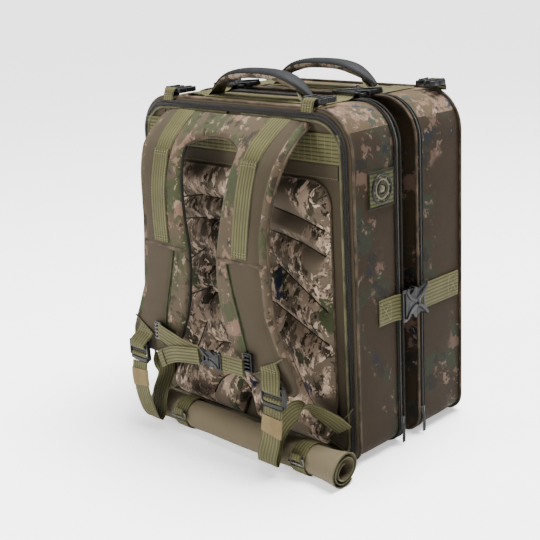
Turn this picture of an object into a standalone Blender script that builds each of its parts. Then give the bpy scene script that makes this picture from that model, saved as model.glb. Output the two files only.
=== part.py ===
"""Tackle backpack: two box-shaped modules joined by four side-release buckles, with a padded
harness on the back module and a clamshell lid on the front one.

Metres, +Z up. X runs across the width, the harness faces -Y and the front module is on +Y.
The origin is the middle of the underside of the back module."""
import bpy
import bmesh
import math
import numpy as np

for old in list(bpy.data.objects):
    bpy.data.objects.remove(old, do_unlink=True)

# driving dimensions
WIDTH = 0.440            # across both modules
HEIGHT = 0.522           # floor to the top fabric
BACK_Y0, BACK_Y1 = -0.054, 0.054     # back module
FRONT_Y0, FRONT_Y1 = 0.092, 0.208    # front module
R_TOP, R_LOW = 0.060, 0.028          # corner radii of the modules
WALL = 0.005             # padded fabric wall
BASE = 0.0032            # black base sheet
GAP = 0.0004             # clearance between touching pieces
WEB = 0.0018             # webbing thickness
WEB_WIDE = 0.038         # main webbing
WEB_NARROW = 0.025       # sternum and accessory webbing
BUCKLE_L, BUCKLE_W, BUCKLE_T = 0.062, 0.050, 0.012
TOP_X = 0.128            # top bridging straps, from the middle
SIDE_Z = 0.224           # side bridging straps, above the floor
STRAP_T = 0.013          # shoulder strap foam
ROLL_R = 0.0235          # rolled harness cover
HANDLE_RISE = 0.040


def material(name, colour, rough=0.7, metal=0.0):
    m = bpy.data.materials.new(name)
    m.use_nodes = True
    shader = m.node_tree.nodes["Principled BSDF"]
    shader.inputs["Base Color"].default_value = (*colour, 1)
    shader.inputs["Roughness"].default_value = rough
    shader.inputs["Metallic"].default_value = metal
    return m


OLIVE, CAMO, PAD, BLACK, STEEL, COVER, GREY = (
    (0.20, 0.19, 0.09), (0.10, 0.078, 0.055), (0.21, 0.17, 0.12), (0.03, 0.03, 0.032),
    (0.55, 0.55, 0.56), (0.19, 0.15, 0.10), (0.09, 0.09, 0.10))


def add(name, verts, faces, colour, rough=0.7, metal=0.0, origin=(0, 0, 0)):
    """A mesh object from points in the row frame, with its origin at the joint if it has one."""
    o = np.asarray(origin, float)
    mesh = bpy.data.meshes.new(name)
    mesh.from_pydata([tuple(np.asarray(v, float) - o) for v in verts], [], faces)
    bm = bmesh.new()
    bm.from_mesh(mesh)
    bmesh.ops.recalc_face_normals(bm, faces=bm.faces)
    bm.to_mesh(mesh)
    bm.free()
    obj = bpy.data.objects.new(name, mesh)
    obj.location = origin
    bpy.context.scene.collection.objects.link(obj)
    mesh.materials.append(material(name, colour, rough, metal))
    return obj


def loft(name, rings, colour, rough=0.7, metal=0.0, origin=(0, 0, 0), closed=False):
    """Closed body through rings with the same number of points; ends capped unless closed."""
    n = len(rings[0])
    verts = [p for ring in rings for p in ring]
    faces = []
    last = len(rings) if closed else len(rings) - 1
    for i in range(last):
        j = (i + 1) % len(rings)
        for k in range(n):
            m = (k + 1) % n
            faces.append((i * n + k, i * n + m, j * n + m, j * n + k))
    if not closed:
        faces.append(tuple(range(n)))
        faces.append(tuple(range((len(rings) - 1) * n, len(rings) * n)))
    return add(name, verts, faces, colour, rough, metal, origin)


def rounded(w, z0, z1, r_top, r_low, inset=0.0, n=6):
    """Outline in X and Z of a module, counter-clockwise from the lower right corner."""
    hw = w / 2 - inset
    z0, z1 = z0 + inset, z1 - inset
    rt, rl = max(r_top - inset, 0.002), max(r_low - inset, 0.002)
    pts = []
    for cx, cz, r, a0 in ((hw - rl, z0 + rl, rl, -90), (hw - rt, z1 - rt, rt, 0),
                          (-hw + rt, z1 - rt, rt, 90), (-hw + rl, z0 + rl, rl, 180)):
        for i in range(n + 1):
            a = math.radians(a0 + 90 * i / n)
            pts.append((cx + r * math.cos(a), cz + r * math.sin(a)))
    return pts


def ring_y(outline, y):
    return [(x, y, z) for x, z in outline]


def prism(name, outline, axis, t0, t1, colour, rough=0.5, metal=0.0, origin=(0, 0, 0), bevel=0.0):
    """Outline extruded along an axis; the outline holds the other two coordinates in X, Y, Z order."""
    def at(p, t):
        q = list(p)
        q.insert(axis, t)
        return tuple(q)
    if bevel <= 0:
        rings = [[at(p, t) for p in outline] for t in (t0, t1)]
    else:
        c = np.mean(np.array(outline), axis=0)
        small = [tuple(np.array(p) - bevel * np.sign(np.array(p) - c)) for p in outline]
        rings = [[at(p, t0) for p in small], [at(p, t0 + bevel) for p in outline],
                 [at(p, t1 - bevel) for p in outline], [at(p, t1) for p in small]]
    return loft(name, rings, colour, rough, metal, origin)


def block(name, lo, hi, colour, rough=0.6, metal=0.0, origin=(0, 0, 0), chamfer=0.0):
    """Box with its four upright edges cut when a chamfer is given."""
    (x0, y0, z0), (x1, y1, z1) = lo, hi
    c = chamfer
    if c > 0:
        out = [(x0 + c, y0), (x1 - c, y0), (x1, y0 + c), (x1, y1 - c), (x1 - c, y1), (x0 + c, y1),
               (x0, y1 - c), (x0, y0 + c)]
    else:
        out = [(x0, y0), (x1, y0), (x1, y1), (x0, y1)]
    return prism(name, out, 2, z0, z1, colour, rough, metal, origin)


def cut(obj, tool):
    """Take one body out of another and drop the tool."""
    mod = obj.modifiers.new("cut", "BOOLEAN")
    mod.operation, mod.solver, mod.object = "DIFFERENCE", "EXACT", tool
    depsgraph = bpy.context.evaluated_depsgraph_get()
    mesh = bpy.data.meshes.new_from_object(obj.evaluated_get(depsgraph))
    obj.modifiers.clear()
    obj.data = mesh
    bpy.data.objects.remove(tool, do_unlink=True)


def cut_box(obj, lo, hi):
    tool = block("tool", lo, hi, BLACK)
    bpy.context.view_layer.update()
    cut(obj, tool)


def curve(points, n):
    """Smooth path through control points (Catmull-Rom), n points to each span."""
    p = np.array(points, float)
    p = np.vstack([2 * p[0] - p[1], p, 2 * p[-1] - p[-2]])
    out = []
    for i in range(1, len(p) - 2):
        for k in range(n):
            t = k / n
            a, b, c, d = p[i - 1], p[i], p[i + 1], p[i + 2]
            out.append(0.5 * ((2 * b) + (c - a) * t + (2 * a - 5 * b + 4 * c - d) * t * t
                              + (3 * b - a - 3 * c + d) * t ** 3))
    out.append(p[-2])
    return np.array(out)


def frames(path, side, level=False):
    """Tangent, across and outward directions along a path; side is the wanted across direction, and a
    level band is cut straight across along it."""
    t = np.gradient(path, axis=0)
    if level:
        t = t - (t @ np.array(side, float))[:, None] * np.array(side, float)
    t /= np.linalg.norm(t, axis=1)[:, None]
    s = np.array(side, float)
    s = np.broadcast_to(s, t.shape) - (t @ np.array(side, float))[:, None] * t
    s /= np.linalg.norm(s, axis=1)[:, None]
    return t, s, np.cross(t, s)


def band(name, path, width, lift0, lift1, colour, side=(1, 0, 0), shift=0.0, origin=(0, 0, 0),
         rounding=0.0, rough=0.8, level=False):
    """Flat band along a path, from lift0 to lift1 outwards of it; width may change along it."""
    t, s, n = frames(path, side, level)
    w = np.broadcast_to(np.asarray(width, float) / 2, len(path))
    rings = []
    for i in range(len(path)):
        c = path[i] + shift * s[i]
        if rounding > 0:
            r = rounding
            sec = [(-w[i], lift0 + r), (-w[i] + r, lift0), (w[i] - r, lift0), (w[i], lift0 + r),
                   (w[i], lift1 - r), (w[i] - r, lift1), (-w[i] + r, lift1), (-w[i], lift1 - r)]
        else:
            sec = [(-w[i], lift0), (w[i], lift0), (w[i], lift1), (-w[i], lift1)]
        rings.append([c + a * s[i] + b * n[i] for a, b in sec])
    return loft(name, rings, colour, rough, 0.0, origin)


def tube(name, path, r, colour, n=10, metal=0.0, origin=(0, 0, 0), side=(0, 1, 0)):
    t, s, m = frames(path, side)
    rings = [[path[i] + r * (math.cos(2 * math.pi * k / n) * s[i] + math.sin(2 * math.pi * k / n) * m[i])
              for k in range(n)] for i in range(len(path))]
    return loft(name, rings, colour, 0.5, metal, origin)


# ---- modules ---------------------------------------------------------------------------------

def cup(name, y_open, y_closed, colour):
    """Padded box with one open face: outer skin, rim, inner skin and floor."""
    sign = 1 if y_closed > y_open else -1
    outer = rounded(WIDTH, BASE + GAP, HEIGHT, R_TOP, R_LOW)
    inner = rounded(WIDTH, BASE + GAP, HEIGHT, R_TOP, R_LOW, WALL)
    rings = [ring_y(inner, y_closed - sign * WALL), ring_y(inner, y_open),
             ring_y(outer, y_open), ring_y(outer, y_closed)]
    return loft(name, rings, colour)


PANEL = 0.0055
cup("back_shell", BACK_Y0 + PANEL + GAP, BACK_Y1, CAMO)
prism("back_panel", rounded(WIDTH, BASE + GAP, HEIGHT, R_TOP, R_LOW), 1, BACK_Y0, BACK_Y0 + PANEL, CAMO)
cup("front_shell", FRONT_Y1 - PANEL - GAP, FRONT_Y0, CAMO)
HINGE_LID = (0, FRONT_Y1, BASE + GAP)
prism("front_lid", rounded(WIDTH, BASE + GAP, HEIGHT, R_TOP, R_LOW), 1, FRONT_Y1 - PANEL, FRONT_Y1,
      CAMO, origin=HINGE_LID)
for name, y0, y1 in (("back_base", BACK_Y0 + 0.004, BACK_Y1 - 0.002),
                     ("front_base", FRONT_Y0 + 0.002, FRONT_Y1 - 0.008)):
    block(name, (-WIDTH / 2 + 0.030, y0, 0), (WIDTH / 2 - 0.030, y1, BASE), BLACK, chamfer=0.006)

# quilted foam panel with two round lobes at its foot
half = [(0.0, 0.060), (0.012, 0.034), (0.040, 0.022), (0.090, 0.020), (0.140, 0.024), (0.172, 0.040),
        (0.184, 0.080), (0.184, 0.395), (0.172, 0.418), (0.150, 0.424), (0.0, 0.424)]
outline = half + [(-x, z) for x, z in half[-2:0:-1]]
c = (0.0, 0.22)
inner = [(x * 0.95, 0.22 + (z - 0.22) * 0.965) for x, z in outline]
PAD_Y = BACK_Y0 - GAP
loft("back_pad", [ring_y(outline, PAD_Y), ring_y(outline, PAD_Y - 0.010), ring_y(inner, PAD_Y - 0.015)], PAD)
block("molle_band", (-0.206, PAD_Y - 0.002, 0.450), (0.206, PAD_Y, 0.490), OLIVE)

# ---- harness ---------------------------------------------------------------------------------
# The strap path is given for the right side, from the yoke seam down to the ladder lock.
STRAP = [(0.105, -0.060, 0.505), (0.105, -0.086, 0.487), (0.104, -0.112, 0.462), (0.097, -0.128, 0.425),
         (0.090, -0.137, 0.375), (0.083, -0.141, 0.315), (0.086, -0.143, 0.255), (0.106, -0.143, 0.195),
         (0.130, -0.141, 0.155), (0.148, -0.140, 0.128)]
path = curve(STRAP, 4)
t_r, s_r, n_r = frames(path, (1, 0, 0), True)
SPLIT = 9                # path point where the yoke ends and the straps begin

# yoke: one padded piece across both shoulders, with an arch cut from its lower edge
cols = []
xs = np.concatenate([np.linspace(-0.152, -0.057, 8), np.linspace(-0.045, 0.045, 9),
                     np.linspace(0.057, 0.152, 8)])
for x in xs:
    a = abs(x)
    end = SPLIT if a >= 0.056 else SPLIT - 3.6 - 0.7 * math.cos(a / 0.057 * math.pi / 2)
    col = []
    for k in range(8):
        u = end * k / 7
        i = min(int(u), len(path) - 2)
        p = path[i] + (u - i) * (path[i + 1] - path[i])
        q = n_r[i] + (u - i) * (n_r[i + 1] - n_r[i])
        q[0] = 0
        q /= np.linalg.norm(q)
        col.append((np.array([x, p[1], p[2]]), q))
    cols.append(col)
rings = []
for col in cols:
    outer = [p + q * 0.0 for p, q in col]
    inner = [p - q * STRAP_T * (0.45 if k == 0 else 1.0) for k, (p, q) in enumerate(col)]
    rings.append(outer + inner[::-1])
loft("harness_yoke", rings, CAMO)

def mirrored(points, sx):
    q = np.array(points, float).copy()
    q[:, 0] *= sx
    return q


for sx, tag in ((1, "right"), (-1, "left")):
    body = path[SPLIT:].copy()
    d = path[SPLIT + 1] - path[SPLIT]
    body[0] = path[SPLIT] + d / np.linalg.norm(d) * 0.0035
    m = len(body)
    u = np.linspace(0, 1, m)
    width = np.interp(u, [0, 0.12, 0.30, 0.45, 0.60, 0.76, 0.90, 1], [0.094, 0.093, 0.094, 0.103, 0.107, 0.114, 0.104, 0.050])
    body = mirrored(body, sx)
    side = (sx, 0, 0)
    lift = (-STRAP_T, 0) if sx > 0 else (0, STRAP_T)
    band("shoulder_strap_" + tag, body, width, *lift, CAMO, side=side, rounding=0.004, level=True)
    # webbing sewn along the upper half of the strap
    web = mirrored(path[0:22], sx)
    lift = (0.0005, 0.0005 + WEB) if sx > 0 else (-0.0005 - WEB, -0.0005)
    band("strap_webbing_" + tag, web, WEB_WIDE, *lift, OLIVE, side=side, level=True)
    # ladder lock: frame with two slots, hung from the strap's tongue
    LOCK = np.array([0.151 * sx, -0.1525, 0.133])
    lx, ly, lz = LOCK
    out = [(lx - 0.024, lz - 0.017), (lx - 0.021, lz - 0.020), (lx + 0.021, lz - 0.020), (lx + 0.024, lz - 0.017),
           (lx + 0.023, lz + 0.012), (lx + 0.020, lz + 0.0145), (lx - 0.020, lz + 0.0145), (lx - 0.023, lz + 0.012)]
    lock = prism("ladder_lock_" + tag, out, 1, ly - 0.0045, ly + 0.0035, GREY, 0.35, origin=(lx, ly, lz + 0.0115),
                 bevel=0.001)
    cut_box(lock, (lx - 0.0195, ly - 0.01, lz + 0.003), (lx + 0.0195, ly + 0.01, lz + 0.009))
    cut_box(lock, (lx - 0.0195, ly - 0.01, lz - 0.013), (lx + 0.0195, ly + 0.01, lz - 0.005))
    # adjusting webbing: from the lock down in front of the cover, up in a slack loop, to the panel corner
    low = curve([(0.151, -0.1545, 0.1105), (0.150, -0.1575, 0.090), (0.145, -0.1580, 0.060), (0.135, -0.1565, 0.032),
                 (0.1305, -0.1495, 0.0175), (0.1305, -0.1430, 0.026), (0.132, -0.1350, 0.056), (0.140, -0.1130, 0.082),
                 (0.160, -0.1000, 0.095), (0.185, -0.0860, 0.086), (0.1985, -0.0575, 0.056)], 3)
    low = mirrored(low, sx)
    lift = (0, WEB) if sx > 0 else (-WEB, 0)
    band("lower_webbing_" + tag, low, np.interp(np.linspace(0, 1, len(low)), [0, 0.7, 0.9, 1], [0.036, 0.034, 0.026, 0.024]),
         *lift, OLIVE, side=(sx, 0, 0))

# sternum strap between the two rails
SY = -0.1625             # outer face of the shoulder straps at chest height
CX, CZ = 0.100, 0.167
for sx, tag, dz in ((1, "right", 0.0), (-1, "left", 0.006)):
    block("sternum_clip_" + tag, (CX * sx - 0.008, SY + 0.008, CZ + dz - 0.015),
          (CX * sx + 0.008, SY + 0.0165, CZ + dz + 0.015), GREY, 0.3)
SB = -0.1560
# female half: flat socket open to -X; the male half slides out of it
fem = block("sternum_female", (0.021, SB - 0.004, 0.143), (0.050, SB + 0.005, 0.171), GREY, 0.35)
cut_box(fem, (0.0, SB - 0.0022, 0.1455), (0.044, SB + 0.0032, 0.1685))
teeth = [(0.002, 0.144), (0.020, 0.144), (0.020, 0.1468), (0.040, 0.1468), (0.040, 0.1500), (0.0205, 0.1510),
         (0.0205, 0.1550), (0.036, 0.1550), (0.036, 0.1590), (0.0205, 0.1590), (0.0205, 0.1630), (0.040, 0.1640),
         (0.040, 0.1672), (0.020, 0.1672), (0.020, 0.1700), (0.002, 0.1700)]
male = prism("sternum_male", teeth, 1, SB - 0.0018, SB + 0.0028, GREY, 0.35, origin=(0.002, SB, 0.157))
block("sternum_loop", (0.0504, SB - 0.0009, 0.1445), (0.0914, SB + 0.0009, 0.1695), OLIVE)
stern = curve([(-0.0914, SB, 0.172), (-0.070, SB - 0.001, 0.168), (-0.035, SB - 0.001, 0.160),
               (-0.0012, SB, 0.157)], 3)
band("sternum_webbing", stern, WEB_NARROW, -WEB / 2, WEB / 2, OLIVE, side=(0, 0, 1))

# ---- rolled cover at the foot of the harness -------------------------------------------------
RY, RZ = BACK_Y0 - 0.056, ROLL_R + 0.0021
turns = 2.6
inner_r = 0.0125
N = 46
sec = []
for k in range(N + 1):
    a = 2 * math.pi * turns * k / N
    r = inner_r + (ROLL_R - 0.0012 - inner_r) * k / N
    sec.append((r, a))
a_off = math.radians(-60) - sec[-1][1]
th = 0.0012
prof = [(r + th, a + a_off) for r, a in sec] + [(r - th, a + a_off) for r, a in reversed(sec)]
rings = []
for x in (-0.165, 0.242):
    rings.append([(x, RY + r * math.cos(a), RZ + r * math.sin(a)) for r, a in prof])
loft("rolled_cover", rings, COVER)

# two retaining straps: closed loops of webbing around the roll, each with a metal G-hook
for x, tag in ((0.173, "right"), (-0.085, "left")):
    rr = ROLL_R + 0.0006
    out, inn = [], []
    for k in range(28):
        a = 2 * math.pi * k / 28
        squash = 1.0
        out.append((RY + (rr + 0.0012) * math.cos(a), RZ + (rr + 0.0012) * math.sin(a)))
        inn.append((RY + rr * math.cos(a), RZ + rr * math.sin(a)))
    rings = []
    for a, b in zip(out, inn):
        rings.append([(x - 0.0125, *a), (x + 0.0125, *a), (x + 0.0125, *b), (x - 0.0125, *b)])
    loft("cover_strap_" + tag, rings, OLIVE, closed=True)
    # hook: flat steel plate with a slot, hinged on its strap
    hy, hz = RY - ROLL_R - 0.0028, RZ + 0.004
    plate = prism("cover_hook_" + tag, [(x - 0.017, hz - 0.0035), (x - 0.014, hz - 0.006), (x + 0.014, hz - 0.006),
                                        (x + 0.017, hz - 0.0035), (x + 0.017, hz + 0.0035), (x + 0.014, hz + 0.006),
                                        (x - 0.014, hz + 0.006), (x - 0.017, hz + 0.0035)], 1,
                  hy - 0.0024, hy, STEEL, 0.3, 1.0, origin=(x, hy - 0.0012, hz + 0.0045))
    cut_box(plate, (x - 0.0135, hy - 0.01, hz - 0.0025), (x + 0.0135, hy + 0.01, hz + 0.0025))

# ---- top: handles, bridging straps, accessory buckles ----------------------------------------
TOP = HEIGHT + GAP
for tag, y in (("back", 0.001), ("front", 0.146)):
    block("handle_webbing_" + tag, (-0.105, y - 0.019, TOP), (0.105, y + 0.019, TOP + WEB), OLIVE)
    foot = TOP + WEB + GAP + 0.0055
    arc = []
    for k in range(17):
        u = -1 + 2 * k / 16
        rise = HANDLE_RISE * (1 - abs(u) ** 2.6)
        arc.append((0.103 * u, y, foot + rise))
    arc = np.array(arc)
    t, s, n = frames(arc, (0, 1, 0))
    rings = []
    for i in range(17):
        u = abs(-1 + 2 * i / 16)
        w = 0.017 if u < 0.60 else 0.017 - 0.0135 * (u - 0.60) / 0.40
        h = 0.0085 if u < 0.60 else 0.0085 - 0.0045 * (u - 0.60) / 0.40
        ring = []
        for k in range(10):
            a = 2 * math.pi * (k + 0.5) / 10
            ring.append(arc[i] + w * math.cos(a) * s[i] + h * math.sin(a) * n[i])
        rings.append(ring)
    loft("handle_" + tag, rings, GREY, 0.6, origin=(0, y, foot))


def bridge(kind, tag, place, female_len=0.034):
    """Strap, socket, prongs and strap across the gap. place maps (along Y, across, outward) to the frame."""
    w, b = WEB_WIDE / 2, BUCKLE_W / 2
    ya, yb = 0.0730 - BUCKLE_L / 2, 0.0730 + BUCKLE_L / 2

    def box(name, y0, y1, c0, c1, h0, h1, colour, rough=0.6):
        corners = [place(y, c, h) for h in (h0, h1) for y, c in ((y0, c0), (y1, c0), (y1, c1), (y0, c1))]
        f = [(0, 1, 2, 3), (4, 5, 6, 7), (0, 1, 5, 4), (1, 2, 6, 5), (2, 3, 7, 6), (3, 0, 4, 7)]
        return add(name, corners, f, colour, rough)

    y_start = -0.018 if kind == "top" else -0.001
    y_end = 0.185 if kind == "top" else 0.192
    box(kind + "_strap_back_" + tag, y_start, ya - GAP, -w, w, 0, WEB, OLIVE, 0.8)
    box(kind + "_strap_front_" + tag, yb + GAP, y_end, -w, w, 0, WEB, OLIVE, 0.8)
    fem = box(kind + "_female_" + tag, ya, ya + female_len, -b, b, 0.0002, BUCKLE_T, GREY, 0.35)
    tool = box("tool", ya + 0.009, ya + female_len + 0.01, -b + 0.002, b - 0.002, 0.0022, BUCKLE_T - 0.002, GREY)
    bpy.context.view_layer.update()
    cut(fem, tool)
    ym = ya + female_len + 0.0005
    comb = [(yb, -b + 0.001), (yb, b - 0.001), (ym, b - 0.001), (ym, b - 0.0035), (ya + 0.014, b - 0.0035),
            (ya + 0.014, b - 0.0085), (ym + 0.002, b - 0.0105), (ym + 0.002, 0.004), (ya + 0.018, 0.004),
            (ya + 0.018, -0.004), (ym + 0.002, -0.004), (ym + 0.002, -b + 0.0105), (ya + 0.014, -b + 0.0085),
            (ya + 0.014, -b + 0.0035), (ym, -b + 0.0035), (ym, -b + 0.001)]
    loft(kind + "_male_" + tag, [[place(y, c, h) for y, c in comb] for h in (0.0026, BUCKLE_T - 0.0024)], GREY, 0.35)


for sx, tag in ((1, "right"), (-1, "left")):
    bridge("top", tag, lambda y, c, h, sx=sx: (sx * TOP_X + c, y, TOP + h))
    bridge("side", tag, lambda y, c, h, sx=sx: (sx * (WIDTH / 2 + GAP + h), y, SIDE_Z + c))

# four small male halves lying on the top, each turning on a webbing loop at its root
SMALL = {"back_right": (0.148, -0.047, 1), "back_left": (-0.148, -0.047, 1),
         "front_right": (0.178, 0.1995, -1), "front_left": (-0.178, 0.1995, -1)}
for tag, (x, y, d) in SMALL.items():
    z = TOP + 0.0045
    comb = [(-0.0135, 0.0), (0.0135, 0.0), (0.0135, 0.010), (0.0115, 0.011), (0.0115, 0.025), (0.0075, 0.027),
            (0.0065, 0.012), (0.002, 0.012), (0.002, 0.023), (-0.002, 0.023), (-0.002, 0.012), (-0.0065, 0.012),
            (-0.0075, 0.027), (-0.0115, 0.025), (-0.0115, 0.011), (-0.0135, 0.010)]
    if tag.startswith("front"):
        comb = [(a, b * 0.9) for a, b in comb]
    loft("accessory_buckle_" + tag, [[(x + a, y + d * b, h) for a, b in comb] for h in (z, z + 0.006)],
         GREY, 0.35, origin=(x, y, z + 0.003))

# ---- patch and zip pulls ---------------------------------------------------------------------
block("side_patch", (WIDTH / 2 + GAP, -0.018, 0.381), (WIDTH / 2 + GAP + 0.002, 0.039, 0.433), OLIVE)
for tag, y in (("back", 0.0475), ("front", 0.0985)):
    x0 = WIDTH / 2 + GAP
    slider = block("zip_slider_" + tag, (x0, y - 0.0045, 0.034), (x0 + 0.0045, y + 0.0045, 0.046), BLACK, 0.3,
                   chamfer=0.001)
    pull = block("zip_pull_" + tag, (x0 + 0.0036, y - 0.003, 0.005), (x0 + 0.0054, y + 0.003, 0.0325), BLACK, 0.4,
                 origin=(x0 + 0.0054, y, 0.0325))
block("lid_slider", (-WIDTH / 2 - GAP - 0.0045, FRONT_Y1 - 0.0065, 0.034),
      (-WIDTH / 2 - GAP, FRONT_Y1 - 0.0005, 0.048), BLACK, 0.3, chamfer=0.001)
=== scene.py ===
import math
import bpy
import bmesh
import numpy as np
from mathutils import Matrix, Vector


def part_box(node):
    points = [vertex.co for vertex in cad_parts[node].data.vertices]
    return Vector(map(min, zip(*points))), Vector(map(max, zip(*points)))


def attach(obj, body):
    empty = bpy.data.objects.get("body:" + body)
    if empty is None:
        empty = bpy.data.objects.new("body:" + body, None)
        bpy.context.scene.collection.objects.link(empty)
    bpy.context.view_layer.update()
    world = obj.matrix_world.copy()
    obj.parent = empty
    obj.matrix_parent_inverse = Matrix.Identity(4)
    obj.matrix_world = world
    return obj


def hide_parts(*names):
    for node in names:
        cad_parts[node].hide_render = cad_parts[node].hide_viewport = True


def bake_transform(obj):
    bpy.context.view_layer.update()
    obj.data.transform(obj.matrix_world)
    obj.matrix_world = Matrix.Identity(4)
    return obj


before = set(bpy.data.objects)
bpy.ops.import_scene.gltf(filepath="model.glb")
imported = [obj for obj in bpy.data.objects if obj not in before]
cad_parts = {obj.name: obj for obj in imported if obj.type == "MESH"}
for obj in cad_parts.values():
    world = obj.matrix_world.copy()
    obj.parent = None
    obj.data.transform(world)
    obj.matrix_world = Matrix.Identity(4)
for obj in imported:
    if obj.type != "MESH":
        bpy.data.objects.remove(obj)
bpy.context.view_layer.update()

# ---- Camera, floor and light -------------------------------------------------------------------
# A pale matt floor and surround, a square key light in front and to the left, a weak one to the right,
# one overhead, and a wide soft sun. The camera looks down a little at the harness side and one flank.

cam_data = bpy.data.cameras.new("camera")
cam_data.sensor_width, cam_data.lens = 36.0, 70.9
camera = bpy.data.objects.new("camera", cam_data)
bpy.context.scene.collection.objects.link(camera)
camera.location = (1.151296, -1.122870, 0.730098)
camera.rotation_euler = np.radians((73.42326, 2.94288, 44.82384))  # tilt from straight down, roll and heading
bpy.context.scene.camera = camera


def srgb(text):
    """Colour of a hex value in linear light."""
    c = np.array([int(text[i:i + 2], 16) for i in (1, 3, 5)]) / 255
    c = np.where(c <= 0.04045, c / 12.92, ((c + 0.055) / 1.055) ** 2.4)
    return (*c.tolist(), 1.0)


def node(tree, kind, links=None, out=0, **values):
    """Adds a node and gives its output, or all of them for out=None: values name its properties or
    input sockets, links the outputs that feed it."""
    n = tree.nodes.new("ShaderNode" + kind)
    for key, value in values.items():
        if hasattr(n, key):
            setattr(n, key, value)
        else:
            n.inputs[int(key[1:]) if key[0] == "_" else key.replace("_", " ")].default_value = value
    for key, source in (links or {}).items():
        tree.links.new(source, n.inputs[key])
    return n.outputs if out is None else n.outputs[out]


def surface(name, rough, metallic=0.0, **sockets):
    """A new material: its node tree and its shader."""
    mat = bpy.data.materials.new(name)
    mat.use_nodes = True
    shader = mat.node_tree.nodes["Principled BSDF"]
    shader.inputs["Roughness"].default_value = rough
    shader.inputs["Metallic"].default_value = metallic
    for key, value in sockets.items():
        shader.inputs[key.replace("_", " ")].default_value = value
    return mat, mat.node_tree, shader


floor_mat, tree, shader = surface("matt_studio_paper", 0.9)
shader.inputs["Base Color"].default_value = srgb("#f4f4f4")
shader.inputs["Emission Color"].default_value = (1, 1, 1, 1)
shader.inputs["Emission Strength"].default_value = 0.62
bpy.ops.mesh.primitive_plane_add(size=80)
floor = bpy.context.object
floor.name = "studio_floor"
floor.data.materials.append(floor_mat)
world = bpy.data.worlds.new("studio")
bpy.context.scene.world = world
world.use_nodes = True
world.node_tree.nodes["Background"].inputs["Color"].default_value = (1, 1, 1, 1)
world.node_tree.nodes["Background"].inputs["Strength"].default_value = 0.27
AIM = Vector((0, 0.05, 0.25))
for name, kind, place, power, size in (
        ("key", "AREA", (-1.4, -2.5, 1.25), 125, 1.1), ("side", "AREA", (2.6, 0.6, 1.5), 3, 1.2),
        ("top", "AREA", (0.3, 0.5, 2.6), 170, 1.2), ("ceiling", "SUN", (0.10, 0.33, 1.25), 7.6,
                                                     math.radians(40))):
    light = bpy.data.lights.new(name, kind)
    light.energy = power
    setattr(light, "size" if kind == "AREA" else "angle", size)
    lamp = bpy.data.objects.new(name, light)
    bpy.context.scene.collection.objects.link(lamp)
    lamp.matrix_world = (Matrix.Translation(place)
                         @ (Vector(place) - AIM).to_track_quat("Z", "Y").to_matrix().to_4x4())

# ---- Module shells -----------------------------------------------------------------------------
# Two box-shaped bags sewn from padded, printed 600-denier polyester: a gusset round the sides and a
# flat panel on each face, with a smooth grey lining. The print is cut afresh for each panel.


def xyz(*parts):
    """Arrays broadcast against each other and stacked into points or map positions."""
    return np.stack(np.broadcast_arrays(*parts), -1)


def unit(v):
    """Vectors brought to length one."""
    return v / np.linalg.norm(v, axis=-1, keepdims=True)


def travelled(path):
    """Distance along a path at each of its points."""
    return np.concatenate([[0], np.cumsum(np.linalg.norm(np.diff(path, axis=0), axis=1))])


def rounded(n=240, w=0.440, z0=0.0036, z1=0.522, r_top=0.060, r_low=0.028):
    """Rounded rectangle in X and Z from the middle of its foot, at even steps of its length.
    Gives points, outward normals and the distance travelled, with the first point again at the end."""
    pts = [(0.0, z0)]
    for cx, cz, r, a0 in ((w / 2 - r_low, z0 + r_low, r_low, -90), (w / 2 - r_top, z1 - r_top, r_top, 0),
                          (-w / 2 + r_top, z1 - r_top, r_top, 90), (-w / 2 + r_low, z0 + r_low, r_low, 180)):
        a = np.radians(np.linspace(a0, a0 + 90, 25))
        pts += list(zip(cx + r * np.cos(a), cz + r * np.sin(a)))
    p = np.array(pts + [(0.0, z0)])
    d = travelled(p)
    s = np.linspace(0, d[-1], n + 1)
    q = xyz(np.interp(s, d, p[:, 0]), np.interp(s, d, p[:, 1]))
    t = np.roll(q[:-1], -1, 0) - np.roll(q[:-1], 1, 0)
    t = unit(np.vstack([t, t[:1]]))
    return q, xyz(t[:, 1], -t[:, 0]), s


def ripple(a, b, seed, size):
    """Soft folds: the sum of eight sine waves in seeded directions, each about size metres long."""
    rng = np.random.default_rng(seed)
    out = np.zeros(np.broadcast(a, b).shape)
    for _ in range(8):
        ang, ph, k = rng.uniform(0, math.pi), rng.uniform(0, 6.28), rng.uniform(0.6, 1.6)
        out = out + np.sin(6.283 * k / size * (a * math.cos(ang) + b * math.sin(ang)) + ph)
    return out / 8


def mend(mesh, merge=0.0, smallest=0.0):
    """Joins points closer than merge, dissolves edges under smallest and turns the faces outwards."""
    bm = bmesh.new()
    bm.from_mesh(mesh)
    if merge:
        bmesh.ops.remove_doubles(bm, verts=bm.verts, dist=merge)
    if smallest:
        bmesh.ops.dissolve_degenerate(bm, edges=bm.edges, dist=smallest)
    bmesh.ops.recalc_face_normals(bm, faces=bm.faces)
    bm.to_mesh(mesh)
    bm.free()


def seat(name, mesh, mats, body, replace=(), sharp=40):
    """Object of a mesh, smooth up to the sharp angle, riding on a body when one is given."""
    for mat in mats if isinstance(mats, list) else [mats]:
        mesh.materials.append(mat)
    mesh.polygons.foreach_set("use_smooth", np.ones(len(mesh.polygons), bool))
    mesh.set_sharp_from_angle(angle=math.radians(sharp))
    obj = bpy.data.objects.new(name, mesh)
    bpy.context.scene.collection.objects.link(obj)
    if body:
        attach(obj, body)
    if replace:
        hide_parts(*replace)
    return obj


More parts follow.
